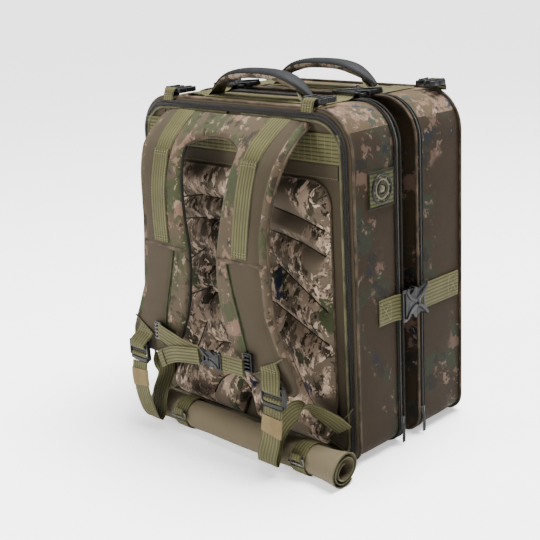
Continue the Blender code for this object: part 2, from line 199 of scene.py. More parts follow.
def put(name, sheets, mats, body="back_module", merge=2e-5, replace=()):
    """One object from sheets of (points, uv, material number or one number a face): each grid of points
    becomes quads, and edges that meet are joined."""
    verts, faces, uvs, index, base = [], [], [], [], 0
    for P, UV, m in sheets:
        a, b = P.shape[:2]
        k = (np.arange(a - 1)[:, None] * b + np.arange(b - 1)[None]).ravel()
        f = np.stack([k, k + 1, k + b + 1, k + b], -1)
        verts.append(P.reshape(-1, 3))
        uvs.append(UV.reshape(-1, 2)[f].reshape(-1, 2))
        faces.append(f + base)
        index.append(np.broadcast_to(np.ravel(m), len(f)))
        base += a * b
    mesh = bpy.data.meshes.new(name)
    mesh.from_pydata(np.concatenate(verts), [], np.concatenate(faces).tolist())
    mesh.uv_layers.new(name="UVMap").data.foreach_set("uv", np.concatenate(uvs).ravel())
    mesh.polygons.foreach_set("material_index", np.concatenate(index))
    mend(mesh, merge, 1e-7)
    return seat(name, mesh, mats, body, replace)


def camouflage(name, ground, patches, amount, scale=1.0, rough=0.82, streak=1.0):
    """Printed 600-denier polyester: ragged patches of colour laid over a plain ground where a broad
    mask lets them show. Pattern sizes are in metres of cloth; the weave is drawn at 0.9 mm."""
    mat, tree, shader = surface(name, rough, Specular_IOR_Level=0.09, Sheen_Weight=0.025, Sheen_Roughness=0.5)
    uv = node(tree, "TexCoord", out="UV")
    stretch = node(tree, "Mapping", {"Vector": uv}, Scale=(1, streak, 1), Rotation=(0, 0, 0.35))
    warp = node(tree, "TexNoise", {"Vector": stretch}, "Color", Scale=60 / scale, Detail=4.0)
    shift = node(tree, "VectorMath", {0: warp}, operation="SCALE", Scale=0.016 * scale)
    place = node(tree, "VectorMath", {0: stretch, 1: shift}, operation="ADD")
    broad = node(tree, "TexNoise", {"Vector": uv}, Scale=7.5 / scale, Detail=1.5)
    mask = node(tree, "MapRange", {"Value": broad}, _1=0.56 - amount, _2=0.60 - amount)
    tint = node(tree, "TexNoise", {"Vector": uv}, Scale=14.0, Detail=4.0)
    colour = node(tree, "Mix", {"Factor": tint}, out=2, data_type="RGBA", _6=srgb(ground[0]),
                  _7=srgb(ground[1]))
    for k, (hue, size, level) in enumerate(patches):
        move = node(tree, "Mapping", {"Vector": place}, Location=(1.7 * k + 0.4, 2.3 * k, 0.9 * k))
        blot = node(tree, "TexNoise", {"Vector": move}, Scale=1 / (size * scale), Detail=8.0, Roughness=0.66)
        edge = node(tree, "MapRange", {"Value": blot}, _1=level, _2=level + 0.018)
        seen = node(tree, "Math", {0: edge, 1: mask}, operation="MULTIPLY")
        colour = node(tree, "Mix", {"Factor": seen, 6: colour}, out=2, data_type="RGBA",
                      _7=srgb(hue))
    split = node(tree, "SeparateXYZ", {"Vector": uv}, out=None)
    threads = []
    for axis in ("X", "Y"):
        wave = node(tree, "Math", {0: split[axis]}, operation="MULTIPLY", _1=6.2832 / 0.0009)
        threads.append(node(tree, "Math", {0: wave}, operation="SINE"))
    weave = node(tree, "Math", {0: threads[0], 1: threads[1]}, operation="MULTIPLY")
    shade = node(tree, "MapRange", {"Value": weave}, _1=-1.0, _2=1.0, _3=0.86, _4=1.08)
    woven = node(tree, "VectorMath", {0: colour, "Scale": shade}, operation="SCALE")
    tree.links.new(woven, shader.inputs["Base Color"])
    fine = node(tree, "TexNoise", {"Vector": uv}, Scale=160.0, Detail=3.0)
    height = node(tree, "Math", {0: weave, 1: fine, 2: fine}, operation="MULTIPLY_ADD")
    bump = node(tree, "Bump", {"Height": height}, Strength=0.35, Distance=0.0004)
    tree.links.new(bump, shader.inputs["Normal"])
    return mat


MODULE_CLOTH = camouflage("printed_600d_polyester", ("#271d10", "#1c150b"), (
    ("#1d2015", 0.050, 0.515), ("#171410", 0.036, 0.55), ("#43342a", 0.046, 0.565), ("#141519", 0.040, 0.605),
    ("#504237", 0.016, 0.615)), 0.075)
# Lighter copy of the module print for the top of each gusset: a separate cut of print, with its ground and
# patches made lighter as painted light from the lamps above.
TOP_CLOTH_PAINTED_LIGHT = camouflage("printed_top_polyester_painted_light", ("#483b2a", "#362d20"), (
    ("#604c3f", 0.030, 0.50), ("#2d3025", 0.022, 0.53), ("#705e4f", 0.012, 0.585), ("#1e202a", 0.024, 0.59)),
                       0.10)
PLAIN_CLOTH = camouflage("plain_olive_brown_polyester", ("#372f24", "#302a1e"), (("#2a2517", 0.08, 0.6),),
                         0.0)


def lining_cloth():
    """Smooth coated nylon lining: dull grey-olive, with a faint 1.2 mm ripstop grid."""
    mat, tree, shader = surface("coated_nylon_lining", 0.6)
    uv = node(tree, "TexCoord", out="UV")
    grid_lines = node(tree, "TexBrick", {"Vector": uv}, Scale=1.0, Mortar_Size=0.0004, Brick_Width=0.006,
                      Row_Height=0.006, offset=0.0, Color1=srgb("#35342c"), Color2=srgb("#323129"),
                      Mortar=srgb("#282720"))
    tree.links.new(grid_lines, shader.inputs["Base Color"])
    return mat


LINING = lining_cloth()
edge, edge_n, edge_s = rounded()
RIM = 0.0052             # padded wall thickness


def wall(y0, y1, inset=0.0, bulge=0.0, seed=1, n=28, cuts=(0.0, 0.0), fold=0.0):
    """Gusset: the outline carried along Y, swollen by bulge in its middle and rippled by fold. The cloth over
    the top is another cut of print than the sides, parted at the corner seams, and shell gives it a lighter
    copy of the print: painted light where the top faces the lamps."""
    t = np.linspace(0, 1, n)[None]
    fat = np.sin(math.pi * t) ** 0.7
    out = bulge * fat + fold * fat * ripple(edge_s[:, None], y0 + (y1 - y0) * t, seed, 0.16) - inset
    flat = np.clip((edge[:, 1] - 0.004) / 0.03, 0, 1)[:, None]
    out = np.where(out > 0, out * flat, out) * np.where(inset > 0.004, 1.0,
                                                        np.clip(np.minimum(t, 1 - t) * 12, 0, 1))
    y = y0 + (y1 - y0) * t
    P = xyz(edge[:, 0:1] + edge_n[:, 0:1] * out, y, edge[:, 1:2] + edge_n[:, 1:2] * out)
    return P, xyz(edge_s[:, None] + cuts[0], P[..., 1] + cuts[1])


def face(y, inset, crown, seed, cuts, fold=0.0, n=26):
    """Flat panel inside the outline: rings that shrink to the middle, bowed along Y by crown."""
    r = np.linspace(0, 1, n)[None] ** 1.3
    base = edge - inset * edge_n
    x = base[:, 0:1] * (1 - r)
    z = 0.262 + (base[:, 1:2] - 0.262) * (1 - r)
    rise = 1 - (1 - np.clip(r / 0.45, 0, 1)) ** 2
    yy = y + crown * rise + fold * np.clip(r * 6, 0, 1) * ripple(x, z, seed, 0.2)
    return xyz(x, yy, z), xyz(x + cuts[0], z + cuts[1])


def shell(name, y_open, y_shut, crown, seed, body, node_name):
    """Closed padded box: outer gusset, shut face, rolled rim, and lining inside."""
    d = 1 if y_shut > y_open else -1
    gus, gus_uv = wall(y_open, y_shut, 0.0026, 0.0030, seed, cuts=(seed * 1.3, 0.4 * seed), fold=0.0012)
    top = np.abs(edge[:-1, 0] + edge[1:, 0]) / 2 < 0.213
    top &= edge[:-1, 1] > 0.40
    k = np.flatnonzero(top)
    # The top strip between the corner seams takes material 2, the lighter print copy that paints the light
    # falling on the top.
    parts = [(gus[:k[0] + 1], gus_uv[:k[0] + 1], 0), (gus[k[0]:k[-1] + 2], gus_uv[k[0]:k[-1] + 2]
                                                      + (2.1, 3.3), 2),
             (gus[k[-1] + 1:], gus_uv[k[-1] + 1:] + (0.7, 5.2), 0)]
    parts.append((*face(y_shut, 0, crown * d, seed + 4, (4.4 * seed, 1.1), 0.0015), 0))
    a, b = wall(y_open, y_open, 0, n=2)[0][:, 0], wall(y_open, y_open, RIM, n=2)[0][:, 0]
    parts.append((np.stack([a, b], 1), np.stack([edge, edge], 1), 1))
    parts.append((*wall(y_open, y_shut - d * RIM, RIM, n=6), 1))
    parts.append((*face(y_shut - d * RIM, RIM, 0, 1, (0, 0), n=8), 1))
    return put(name, parts, [MODULE_CLOTH, LINING, TOP_CLOTH_PAINTED_LIGHT], body,
               replace=(node_name,))


BACK_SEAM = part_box("back_shell")[0][1]
BACK_Y0, BACK_Y1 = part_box("back_panel")[0][1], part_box("back_shell")[1][1]
FRONT_Y0, FRONT_Y1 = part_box("front_shell")[0][1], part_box("front_lid")[1][1]
LID_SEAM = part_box("front_shell")[1][1]
shell("back_module_shell", BACK_SEAM, BACK_Y1, 0.006, 1, "back_module", "back_shell")
shell("front_module_shell", LID_SEAM, FRONT_Y0, 0.006, 2, "front_module", "front_shell")


def panel(name, y_out, y_in, crown, seed, body, node_name, cloth):
    """Stiffened panel: printed face outside, lining inside, closed round its edge."""
    d = 1 if y_out > y_in else -1
    P, UV = face(y_out - 0.0015 * d, 0.0025, 0.0015 * d + crown * d, seed, (1.9 * seed, 7.7), 0.0012)
    Q, QV = face(y_in, 0.0003, 0, 1, (0, 0), n=8)
    rim = np.stack([P[:, 0], wall(y_out - 0.003 * d, y_out - 0.003 * d, 0.0, n=2)[0][:, 0], Q[:, 0]], 1)
    return put(name, [(P, UV, 0), (rim, np.stack([edge] * 3, 1), 0), (Q, QV, 1)], [cloth, LINING], body,
               replace=(node_name,))


panel("harness_side_panel", BACK_Y0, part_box("back_panel")[1][1], -0.0005, 3, "back_module", "back_panel",
      PLAIN_CLOTH)
panel("drop_down_lid", FRONT_Y1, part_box("front_lid")[0][1], 0.004, 5, "front_lid", "front_lid", MODULE_CLOTH)

# ---- Edge piping and zips ----------------------------------------------------------------------
# Each seam of a module is closed with a cord covered in bias-cut cloth, and the openings with a
# number 10 nylon coil zip on black tape between two cords.


def pipe(path, radius, n=10, closed=False):
    """Round cord: a circle of n points carried along a path. Its map runs along it and round it."""
    t = np.roll(path, -1, 0) - np.roll(path, 1, 0) if closed else np.gradient(path, axis=0)
    if closed:
        path, t = np.vstack([path, path[:1]]), np.vstack([t, t[:1]])
    t = unit(t)
    ref = np.array([0.0, 1.0, 0.0]) if abs(t[:, 1]).max() < 0.9 else np.array([0.31, 0.11, 0.94])
    s = unit(ref - (t @ ref)[:, None] * t)
    a = np.linspace(0, 2 * math.pi, n + 1)[None, :, None]
    P = path[:, None] + radius * (np.cos(a) * s[:, None] + np.sin(a) * np.cross(t, s)[:, None])
    UV = xyz(travelled(path)[:, None], a[0, :, 0] * radius)
    ends = () if closed else (0, -1)
    return [(P, UV, 0)] + [(np.stack(np.broadcast_arrays(P[k], path[k])), np.stack([UV[k]] * 2), 0)
                           for k in ends]


def binding_cloth(name, light, dark, slant):
    """Bias-cut cover of a piping cord: fine slanting threads, 1.4 mm apart as drawn, with soft wear."""
    mat, tree, shader = surface(name, 0.85, Specular_IOR_Level=0.15)
    uv = node(tree, "TexCoord", out="UV")
    split = node(tree, "SeparateXYZ", {"Vector": uv}, out=None)
    lean = node(tree, "Math", {0: split["Y"], 2: split["X"]}, operation="MULTIPLY_ADD",
                _1=slant)
    turns = node(tree, "Math", {0: lean}, operation="MULTIPLY", _1=6.2832 / 0.0014)
    wave = node(tree, "Math", {0: turns}, operation="SINE")
    blot = node(tree, "TexNoise", {"Vector": uv}, Scale=45.0, Detail=4.0)
    level = node(tree, "MapRange", {"Value": wave}, _1=-1.0, _2=1.0, _3=-0.12, _4=0.12)
    total = node(tree, "Math", {0: blot, 1: level}, operation="ADD")
    mix = node(tree, "MapRange", {"Value": total}, _1=0.40, _2=0.62)
    colour = node(tree, "Mix", {"Factor": mix}, out=2, data_type="RGBA", _6=srgb(dark), _7=srgb(light))
    tree.links.new(colour, shader.inputs["Base Color"])
    bump = node(tree, "Bump", {"Height": wave}, Strength=0.4, Distance=0.0003)
    tree.links.new(bump, shader.inputs["Normal"])
    return mat


def zip_cloth():
    """Black polyester zip: nylon coil, drawn with a tooth each 2 mm, satin tape with fine ribs."""
    mat, tree, shader = surface("nylon_coil_zip", 0.5, Specular_IOR_Level=0.25)
    uv = node(tree, "TexCoord", out="UV")
    split = node(tree, "SeparateXYZ", {"Vector": uv}, out=None)
    turns = node(tree, "Math", {0: split["X"]}, operation="MULTIPLY", _1=6.2832 / 0.002)
    wave = node(tree, "Math", {0: turns}, operation="SINE")
    shade = node(tree, "MapRange", {"Value": wave}, _1=-0.6, _2=0.8)
    colour = node(tree, "Mix", {"Factor": shade}, out=2, data_type="RGBA", _6=srgb("#0a0806"),
                  _7=srgb("#191610"))
    tree.links.new(colour, shader.inputs["Base Color"])
    bump = node(tree, "Bump", {"Height": wave}, Strength=0.8, Distance=0.0006)
    tree.links.new(bump, shader.inputs["Normal"])
    return mat


OLIVE_BIND = binding_cloth("olive_binding_tape", "#4e4c37", "#353323", 0.6)
PRINT_BIND = binding_cloth("printed_piping_cloth", "#4a3d30", "#201d15", 1.0)
DARK_BIND = binding_cloth("slate_piping_cloth", "#171611", "#0d0c09", 1.0)
ZIP = zip_cloth()
RAIL = binding_cloth("dark_green_rail_cord", "#353926", "#232617", 0.0)


def round_edge(y, out):
    """The module's outline, moved out along its normal, as a closed path at one y."""
    p = edge[:-1] + out * edge_n[:-1]
    return xyz(p[:, 0], y, p[:, 1])


def seam_cord(name, y, out, radius, cloth, body, gap=0.0):
    """Cord round the outline at one y, left open for gap metres either side of the middle of the top."""
    path = round_edge(y, out)
    if gap:
        path = np.roll(path, -int(np.argmin(abs(edge[:-1, 0]) + abs(edge[:-1, 1] - 0.522))), 0)
        path = path[np.linalg.norm(path - [0, y, 0.522], axis=1) > gap]
    return put(name, pipe(path, radius, closed=not gap), cloth, body)


def face_zip(name, y, d, body):
    """Zip on a module's face, just inside its edge: flat tape with the coil along its middle."""
    outer, inner = round_edge(y, -0.0034), round_edge(y, -0.0120)
    lift = np.array([0, d * 0.0011, 0])
    tape = np.stack([outer, outer + lift, inner + lift, inner, outer], 1)
    tape = np.concatenate([tape, tape[:1]])
    along = np.broadcast_to(edge_s[:, None], tape.shape[:2])
    flat = xyz(along, np.broadcast_to(np.array([0, 0.002, 0.010, 0.012, 0.02]), tape.shape[:2]))
    coil = pipe(round_edge(y + d * 0.0012, -0.0078), 0.0013, 8, closed=True)
    return put(name, [(tape, flat, 0)] + coil, ZIP, body)


for body, y_face, d, tag, seam in (("back_module", BACK_Y0, -1, "harness", BACK_SEAM),
                                   ("front_lid", FRONT_Y1, 1, "lid", LID_SEAM)):
    face_zip(tag + "_zip", y_face + d * 0.0002, d, body)
    seam_cord(tag + "_inner_cord", y_face + d * 0.0012, -0.0148, 0.0023, OLIVE_BIND, body, gap=0.018)
    host = "front_module" if body == "front_lid" else body
    seam_cord(tag + "_edge_cord", seam + (0.0 if d < 0 else -0.002), 0.0012, 0.0021, PRINT_BIND, host)
for tag, y, d, body in (("back", BACK_Y1, -1, "back_module"), ("front", FRONT_Y0, 1, "front_module")):
    seam_cord(tag + "_gap_cord", y, 0.0006, 0.0022, DARK_BIND if tag == "back" else PRINT_BIND, body)
    seam_cord(tag + "_gap_zip_coil", y + d * 0.0080, 0.0012, 0.0015, ZIP, body)
    seam_cord(tag + "_gap_second_cord", y + d * 0.0125, 0.0010, 0.0012, DARK_BIND, body)

# ---- Webbing -----------------------------------------------------------------------------------
# Olive polyester webbing woven with raised ribs along it, 38 mm on the bag and 25 mm on the chest
# strap, cut with heat and sewn down with olive bonded thread.


def webbing_cloth(name, width, ribs, light, dark):
    """Woven webbing: ribs run along it and short floats cross them every 3 mm, offset from rib to rib."""
    mat, tree, shader = surface(name, 0.72, Specular_IOR_Level=0.15)
    uv = node(tree, "TexCoord", out="UV")
    split = node(tree, "SeparateXYZ", {"Vector": uv}, out=None)
    pitch = width / ribs
    across = node(tree, "Math", {0: split["Y"]}, operation="MULTIPLY", _1=math.pi / pitch)
    rib = node(tree, "Math", {0: across}, operation="SINE")
    ridge = node(tree, "Math", {0: rib}, operation="ABSOLUTE")
    sign = node(tree, "Math", {0: rib}, operation="SIGN")
    along = node(tree, "Math", {0: split["X"]}, operation="MULTIPLY", _1=6.2832 / 0.0032)
    lag = node(tree, "Math", {0: sign, 2: along}, operation="MULTIPLY_ADD", _1=1.5708)
    float_wave = node(tree, "Math", {0: lag}, operation="SINE")
    part = node(tree, "Math", {0: float_wave, 2: ridge}, operation="MULTIPLY_ADD",
                _1=0.16)
    grain = node(tree, "TexNoise", {"Vector": uv}, Scale=700.0, Detail=2.0)
    height = node(tree, "Math", {0: grain, 2: part}, operation="MULTIPLY_ADD",
                  _1=0.18)
    tone = node(tree, "MapRange", {"Value": height}, _1=0.05, _2=0.95)
    wear = node(tree, "TexNoise", {"Vector": uv}, Scale=30.0, Detail=3.0)
    base = node(tree, "Mix", {"Factor": tone}, out=2, data_type="RGBA", _6=srgb(dark), _7=srgb(light))
    fade = node(tree, "MapRange", {"Value": wear}, _1=0.3, _2=0.7, _3=0.86, _4=1.1)
    worn = node(tree, "VectorMath", {0: base, "Scale": fade}, operation="SCALE")
    tree.links.new(worn, shader.inputs["Base Color"])
    bump = node(tree, "Bump", {"Height": height}, Strength=0.7, Distance=0.0008)
    tree.links.new(bump, shader.inputs["Normal"])
    return mat


WEB_38 = webbing_cloth("ribbed_olive_webbing", 0.038, 7, "#49462a", "#1e1c11")
WEB_25 = webbing_cloth("narrow_ribbed_webbing", 0.025, 5, "#49462a", "#1e1c11")


def smooth_path(points, step=0.004):
    """Catmull-Rom curve through the points, with a point about every step metres."""
    p = np.array(points, float)
    p = np.vstack([2 * p[0] - p[1], p, 2 * p[-1] - p[-2]])
    u = np.linspace(0, 1, 24, endpoint=False)[None, :, None]
    a, b, c, d = (p[i:len(p) - 3 + i, None] for i in range(4))
    q = 0.5 * (2 * b + (c - a) * u + (2 * a - 5 * b + 4 * c - d) * u ** 2 + (3 * b - a - 3 * c + d) * u ** 3)
    return evenly(np.vstack([q.reshape(-1, 3), p[-2]]), step)


def evenly(path, step):
    """The same path with its points at even steps."""
    s = travelled(path)
    t = np.linspace(0, s[-1], max(3, int(s[-1] / step) + 1))
    return xyz(*(np.interp(t, s, v) for v in path.T))


def directions(path, side, level=False):
    """Along, across and outward unit vectors of a band; a level band is cut straight across by side, and
    side may turn from point to point."""
    side = np.broadcast_to(np.asarray(side, float), path.shape)
    t = np.gradient(path, axis=0)
    if level:
        t = t - (t * side).sum(1)[:, None] * side
    t = unit(t)
    s = unit(side - (t * side).sum(1)[:, None] * t)
    return t, s, np.cross(t, s)


def tape(path, width, thick, side=(1, 0, 0), lift=0.0, level=False, edge_r=0.45):
    """Flat band carried along a path, on the outward side of it: a section with thinned, rounded edges.
    Its map runs along it in metres and across it from its middle."""
    t, s, n = directions(path, side, level)
    w = np.broadcast_to(np.asarray(width, float), len(path))[:, None] / 2
    q = np.linspace(-1, 1, 9)
    row = np.concatenate([q, [1.0], q[::-1], [-1.0], [-1.0]])
    up = np.concatenate([[0.82], np.ones(7), [0.82, 0.5, 0.18], np.zeros(7), [0.18, 0.5, 0.82]])
    wide = row * w + np.where(up == 0.5, np.sign(row) * edge_r * thick, 0.0)
    P = path[:, None] + wide[..., None] * s[:, None] + (lift + up * thick)[None, :, None] * n[:, None]
    UV = xyz(travelled(path)[:, None], row * w)
    out = [(P, UV, 0)]
    for k in (0, -1):
        mid = path[k] + (lift + thick / 2) * n[k]
        out.append((np.stack(np.broadcast_arrays(P[k], mid)), np.stack([UV[k]] * 2), 0))
    return out


def thread(name, paths, body="back_module", colour=None, pitch=0.0042, length=0.0028):
    """Lock stitches: short four-sided pods, pointed at both ends, laid nose to tail along each path."""
    pods = []
    for path in paths:
        path = np.array(path, float)
        s = travelled(path)
        mids = np.arange(pitch / 2, s[-1], pitch)[:, None] + np.array([-0.5, 0.5]) * length
        a, b = np.moveaxis(xyz(*(np.interp(mids, s, v) for v in path.T)), 1, 0)
        t = (b - a) / np.maximum(np.linalg.norm(b - a, axis=1), 1e-9)[:, None]
        x = unit(np.cross(t, np.where(abs(t[:, 2:]) < 0.8, [[0.0, 0.0, 1.0]], [[0.0, 1.0, 0.0]])))
        ang = np.linspace(0, 2 * math.pi, 5)[:-1, None, None]
        ring = (a + b) / 2 + 0.00045 * (np.cos(ang) * x + np.sin(ang) * np.cross(t, x))
        pods.append(np.concatenate([a[None], ring, b[None]]).transpose(1, 0, 2).reshape(-1, 3))
    v = np.vstack(pods)
    base = np.arange(len(v) // 6)[:, None, None] * 6
    f = np.array([[0, 1, 2], [0, 2, 3], [0, 3, 4], [0, 4, 1], [5, 2, 1], [5, 3, 2], [5, 4, 3],
                  [5, 1, 4]])[None]
    mesh = bpy.data.meshes.new(name)
    mesh.from_pydata(v, [], (base + f).reshape(-1, 3).tolist())
    mesh.uv_layers.new(name="UVMap")
    mend(mesh)
    return seat(name, mesh, colour or THREAD, body, sharp=180)


def bonded_thread(name, hue):
    """Bonded nylon thread: slightly shiny, twisted, with a little colour drift."""
    mat, tree, shader = surface(name, 0.5)
    place = node(tree, "TexCoord", out="Object")
    drift = node(tree, "TexNoise", {"Vector": place}, Scale=60.0)
    fade = node(tree, "MapRange", {"Value": drift}, _3=0.8, _4=1.2)
    worn = node(tree, "VectorMath", {"Scale": fade}, operation="SCALE", _0=srgb(hue)[:3])
    tree.links.new(worn, shader.inputs["Base Color"])
    return mat


THREAD = bonded_thread("bonded_olive_thread", "#656243")
DARK_THREAD = bonded_thread("bonded_brown_thread", "#28231a")

# MOLLE band across the harness panel, with a plain strip of cloth sewn below it.
y_face = BACK_Y0 - 0.0002
lo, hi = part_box("molle_band")
band_path = xyz(np.linspace(lo[0], hi[0], 60), np.full(60, y_face), np.full(60, (lo[2] + hi[2]) / 2))
put("molle_band_webbing", tape(band_path, hi[2] - lo[2], 0.0018, side=(0, 0, 1)), WEB_38,
    replace=("molle_band",))
rows = []
for x in np.arange(-0.19, 0.2, 0.0127):
    rows.append([(x, y_face - 0.0022, lo[2] + 0.002), (x, y_face - 0.0022, hi[2] - 0.002)])
thread("molle_band_stitches", rows, "back_module", pitch=0.0036)
strip = xyz(np.linspace(-0.2, 0.2, 60), np.full(60, y_face), np.full(60, 0.438))
put("panel_cross_strip", tape(strip, 0.021, 0.0012, side=(0, 0, 1)), PLAIN_CLOTH, "back_module")
thread("cross_strip_stitches", [[(-0.2, y_face - 0.0016, 0.4295), (0.2, y_face - 0.0016, 0.4295)]],
       "back_module",
       colour=THREAD)

# ---- Quilted back pad --------------------------------------------------------------------------
# A slab of soft foam under printed cloth, sewn through to the panel along curved channels, with two
# round lumbar lobes at its foot.
PAD_CLOTH = camouflage("printed_air_mesh", ("#5f5345", "#443b30"), (
    ("#83705f", 0.020, 0.515), ("#2c281e", 0.020, 0.550), ("#a6917e", 0.010, 0.555),
                                                                    ("#323623", 0.034, 0.595),
    ("#1c1b15", 0.014, 0.620), ("#1c1f30", 0.055, 0.618)), 0.17, streak=0.6, rough=0.88)
lo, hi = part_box("back_pad")
PAD_W, PAD_TOP = hi[0], hi[2]
SEAMS = [
    [(-0.065, 0.374), (0.0, 0.376), (0.065, 0.374)], [(-0.065, 0.338), (0.0, 0.344), (0.065, 0.338)],
    [(-0.065, 0.262), (0.0, 0.270), (0.065, 0.262)], [(-0.065, 0.218), (0.0, 0.226), (0.065, 0.218)],
    [(-0.070, 0.135), (0.0, 0.142), (0.070, 0.135)],
    [(0.078, 0.376), (0.130, 0.366), (0.186, 0.350)], [(0.072, 0.340), (0.130, 0.330), (0.186, 0.312)],
    [(0.080, 0.290), (0.130, 0.260), (0.186, 0.226)], [(0.070, 0.228), (0.130, 0.202), (0.186, 0.178)],
    [(0.090, 0.165), (0.118, 0.115), (0.142, 0.082), (0.186, 0.072)],
    [(-0.084, 0.042), (-0.064, 0.070), (-0.034, 0.087), (-0.004, 0.078), (0.010, 0.050), (0.006, 0.02)],
    [(0.084, 0.042), (0.064, 0.070), (0.034, 0.087), (0.012, 0.080), (-0.002, 0.06)]]
SEAMS += [[(-x, z) for x, z in s] for s in SEAMS[5:10]]


def seam_distance(x, z, seams):
    """Distance of each point to the nearest sewn line."""
    best = np.full(x.shape, 1.0)
    for line in seams:
        q = smooth_path([(a, 0, b) for a, b in line], 0.006)
        for (ax, _, az), (bx, _, bz) in zip(q[:-1], q[1:]):
            ux, uz = bx - ax, bz - az
            k = np.clip(((x - ax) * ux + (z - az) * uz) / (ux * ux + uz * uz), 0, 1)
            best = np.minimum(best, np.hypot(x - ax - k * ux, z - az - k * uz))
    return best


def pad_foot(x):
    """Lower edge of the pad: two round lobes that meet in a notch at the middle."""
    a = np.abs(x) / PAD_W
    return 0.020 + 0.040 * np.exp(-(a / 0.07) ** 2) + 0.05 * np.clip((a - 0.86) / 0.14, 0, 1) ** 2


u = np.linspace(-1, 1, 170)[:, None]
v = np.linspace(0, 1, 190)[None]
x = u * PAD_W * (1 - 0.045 * np.clip((v - 0.93) / 0.07, 0, 1) ** 2)
z = pad_foot(x) + (PAD_TOP - pad_foot(x)) * v - 0.012 * np.clip((np.abs(u) - 0.85) / 0.15, 0, 1) ** 2 * v ** 6
rim = np.minimum(np.minimum((1 - np.abs(u)) * PAD_W, (1 - v) * 0.40), v * 0.40)
near = seam_distance(x, z, SEAMS)
swell = (1 - np.exp(-(near / 0.012) ** 1.1))
rise = (0.0030 + 0.0165 * swell) * (1 - np.exp(-(rim / 0.011) ** 1.5)) + 0.0009 * ripple(x, z, 11,
                                                                                         0.05) * swell
top = xyz(x, y_face - 0.0006 - rise, z)
flat = top.copy()
flat[..., 1] = y_face - 0.0002
ring_top = np.concatenate([top[:, 0], top[-1, 1:], top[::-1, -1][1:], top[0, ::-1][1:]])
ring_low = np.concatenate([flat[:, 0], flat[-1, 1:], flat[::-1, -1][1:], flat[0, ::-1][1:]])
UV = xyz(x, z) + (6.1, 0.4)
pad = put("quilted_back_pad", [(top, UV, 0), (flat, UV, 0),
                               (np.stack([ring_top, ring_low]),
                                np.stack([ring_top[:, ::2], ring_low[:, ::2]]), 0)],
          PAD_CLOTH, "back_module", replace=("back_pad",))
lines = []
for s in SEAMS:
    q = smooth_path([(a, 0, b) for a, b in s], 0.006)
    ok = (np.abs(q[:, 0]) < PAD_W - 0.006) & (q[:, 2] > pad_foot(q[:, 0]) + 0.006)
    q = q[ok]
    if len(q) > 2:
        q[:, 1] = y_face - 0.0044
        lines.append(q)
# Dark slate cords laid along the bottom of each sewn channel: painted shade in the pad's grooves.
channels = [part for q in lines for part in pipe(q, 0.0012, 6)]
put("pad_channel_painted_shade_cords", channels, DARK_BIND, "back_module")
thread("pad_channel_stitches", [q - [0, 0.0012, 0] for q in lines], "back_module",
       DARK_THREAD)
edge_line = np.concatenate([top[:, 0], top[-1, 1:], top[::-1, -1][1:], top[0, ::-1][1:-1]])[::3]
edge_line[:, 1] = y_face - 0.0012
put("pad_edge_binding", pipe(edge_line, 0.0015, 8, closed=True), PRINT_BIND, "back_module")

# ---- Shoulder harness --------------------------------------------------------------------------
# Yoke and shoulder straps are one piece of foam 13 mm thick between two cloths, bound round its edge:
# printed cloth inboard, plain cloth outboard of the webbing, and an arch cut below the neck.
HARNESS = smooth_path([(0.105, -0.060, 0.505), (0.105, -0.086, 0.487), (0.104, -0.112, 0.462),
                       (0.097, -0.128, 0.425), (0.090, -0.137, 0.375), (0.083, -0.141, 0.315),
                       (0.086, -0.143, 0.255), (0.106, -0.143, 0.195), (0.130, -0.141, 0.155),
                       (0.148, -0.140, 0.128)], 0.003)
_, _, HARNESS_N = directions(HARNESS, (1, 0, 0), True)
HARNESS_U = travelled(HARNESS[:, 1:])
FOAM = 0.013
ARCH_U = 0.062           # depth of the arch's shoulders below the neck seam
STRAP_CLOTH = camouflage("printed_strap_cloth", ("#443b2e", "#393023"), (
    ("#303320", 0.045, 0.51), ("#5c493c", 0.034, 0.54), ("#28241b", 0.022, 0.575), ("#6e5c4e", 0.013, 0.60),
    ("#1d202e", 0.036, 0.63)), 0.40, streak=0.7)


def on_harness(x, u, lift=0.0):
    """Points of the harness's outer face: across at x, the distance u down it, raised by lift."""
    x, u = np.broadcast_arrays(np.asarray(x, float), np.asarray(u, float))
    q = [np.interp(u, HARNESS_U, HARNESS[:, k]) for k in (1, 2)]
    n = [np.interp(u, HARNESS_U, HARNESS_N[:, k]) for k in (1, 2)]
    return xyz(x, q[0] + lift * n[0], q[1] + lift * n[1])


def u_at(z):
    """Distance down the harness at height z."""
    return np.interp(-np.asarray(z, float), -HARNESS[:, 2], HARNESS_U)


def along_strap(z_points, x_points, u):
    """x of a line on the strap, given at some heights."""
    return np.interp(u, u_at(z_points), x_points)


def strap_lines(u):
    """Inner edge, middle seam, outer trim seam and outer edge of a strap at each u, as x."""
    inner = along_strap((0.505, 0.455, 0.42, 0.38, 0.35, 0.315, 0.28, 0.235, 0.20, 0.17, 0.148, 0.138, 0.128),
                        (0.0565, 0.0565, 0.051, 0.0435, 0.038, 0.031, 0.030, 0.0355, 0.046, 0.060, 0.079,
                         0.098, 0.124), u)
    outer = along_strap((0.505, 0.46, 0.42, 0.38, 0.35, 0.315, 0.24, 0.196, 0.16, 0.145, 0.136, 0.128),
                        (0.152, 0.1515, 0.144, 0.1375, 0.1345, 0.1355, 0.1415, 0.1615, 0.1805, 0.183, 0.181,
                         0.172), u)
    middle = along_strap((0.505, 0.45, 0.40, 0.322, 0.306, 0.261, 0.217, 0.143, 0.128),
                         (0.101, 0.0945, 0.0925, 0.0850, 0.0590, 0.0700, 0.0830, 0.1000, 0.138), u)
    middle = np.clip(middle, inner + 0.012, outer - 0.030)
    return inner, middle, outer - 0.012, outer


def harness_rise(d):
    """How far the faces draw in beside a free edge that is d away."""
    return FOAM / 2 * (1 - np.sqrt(np.clip(1 - (1 - np.clip(d / 0.0065, 0, 1)) ** 2, 0, 1)))


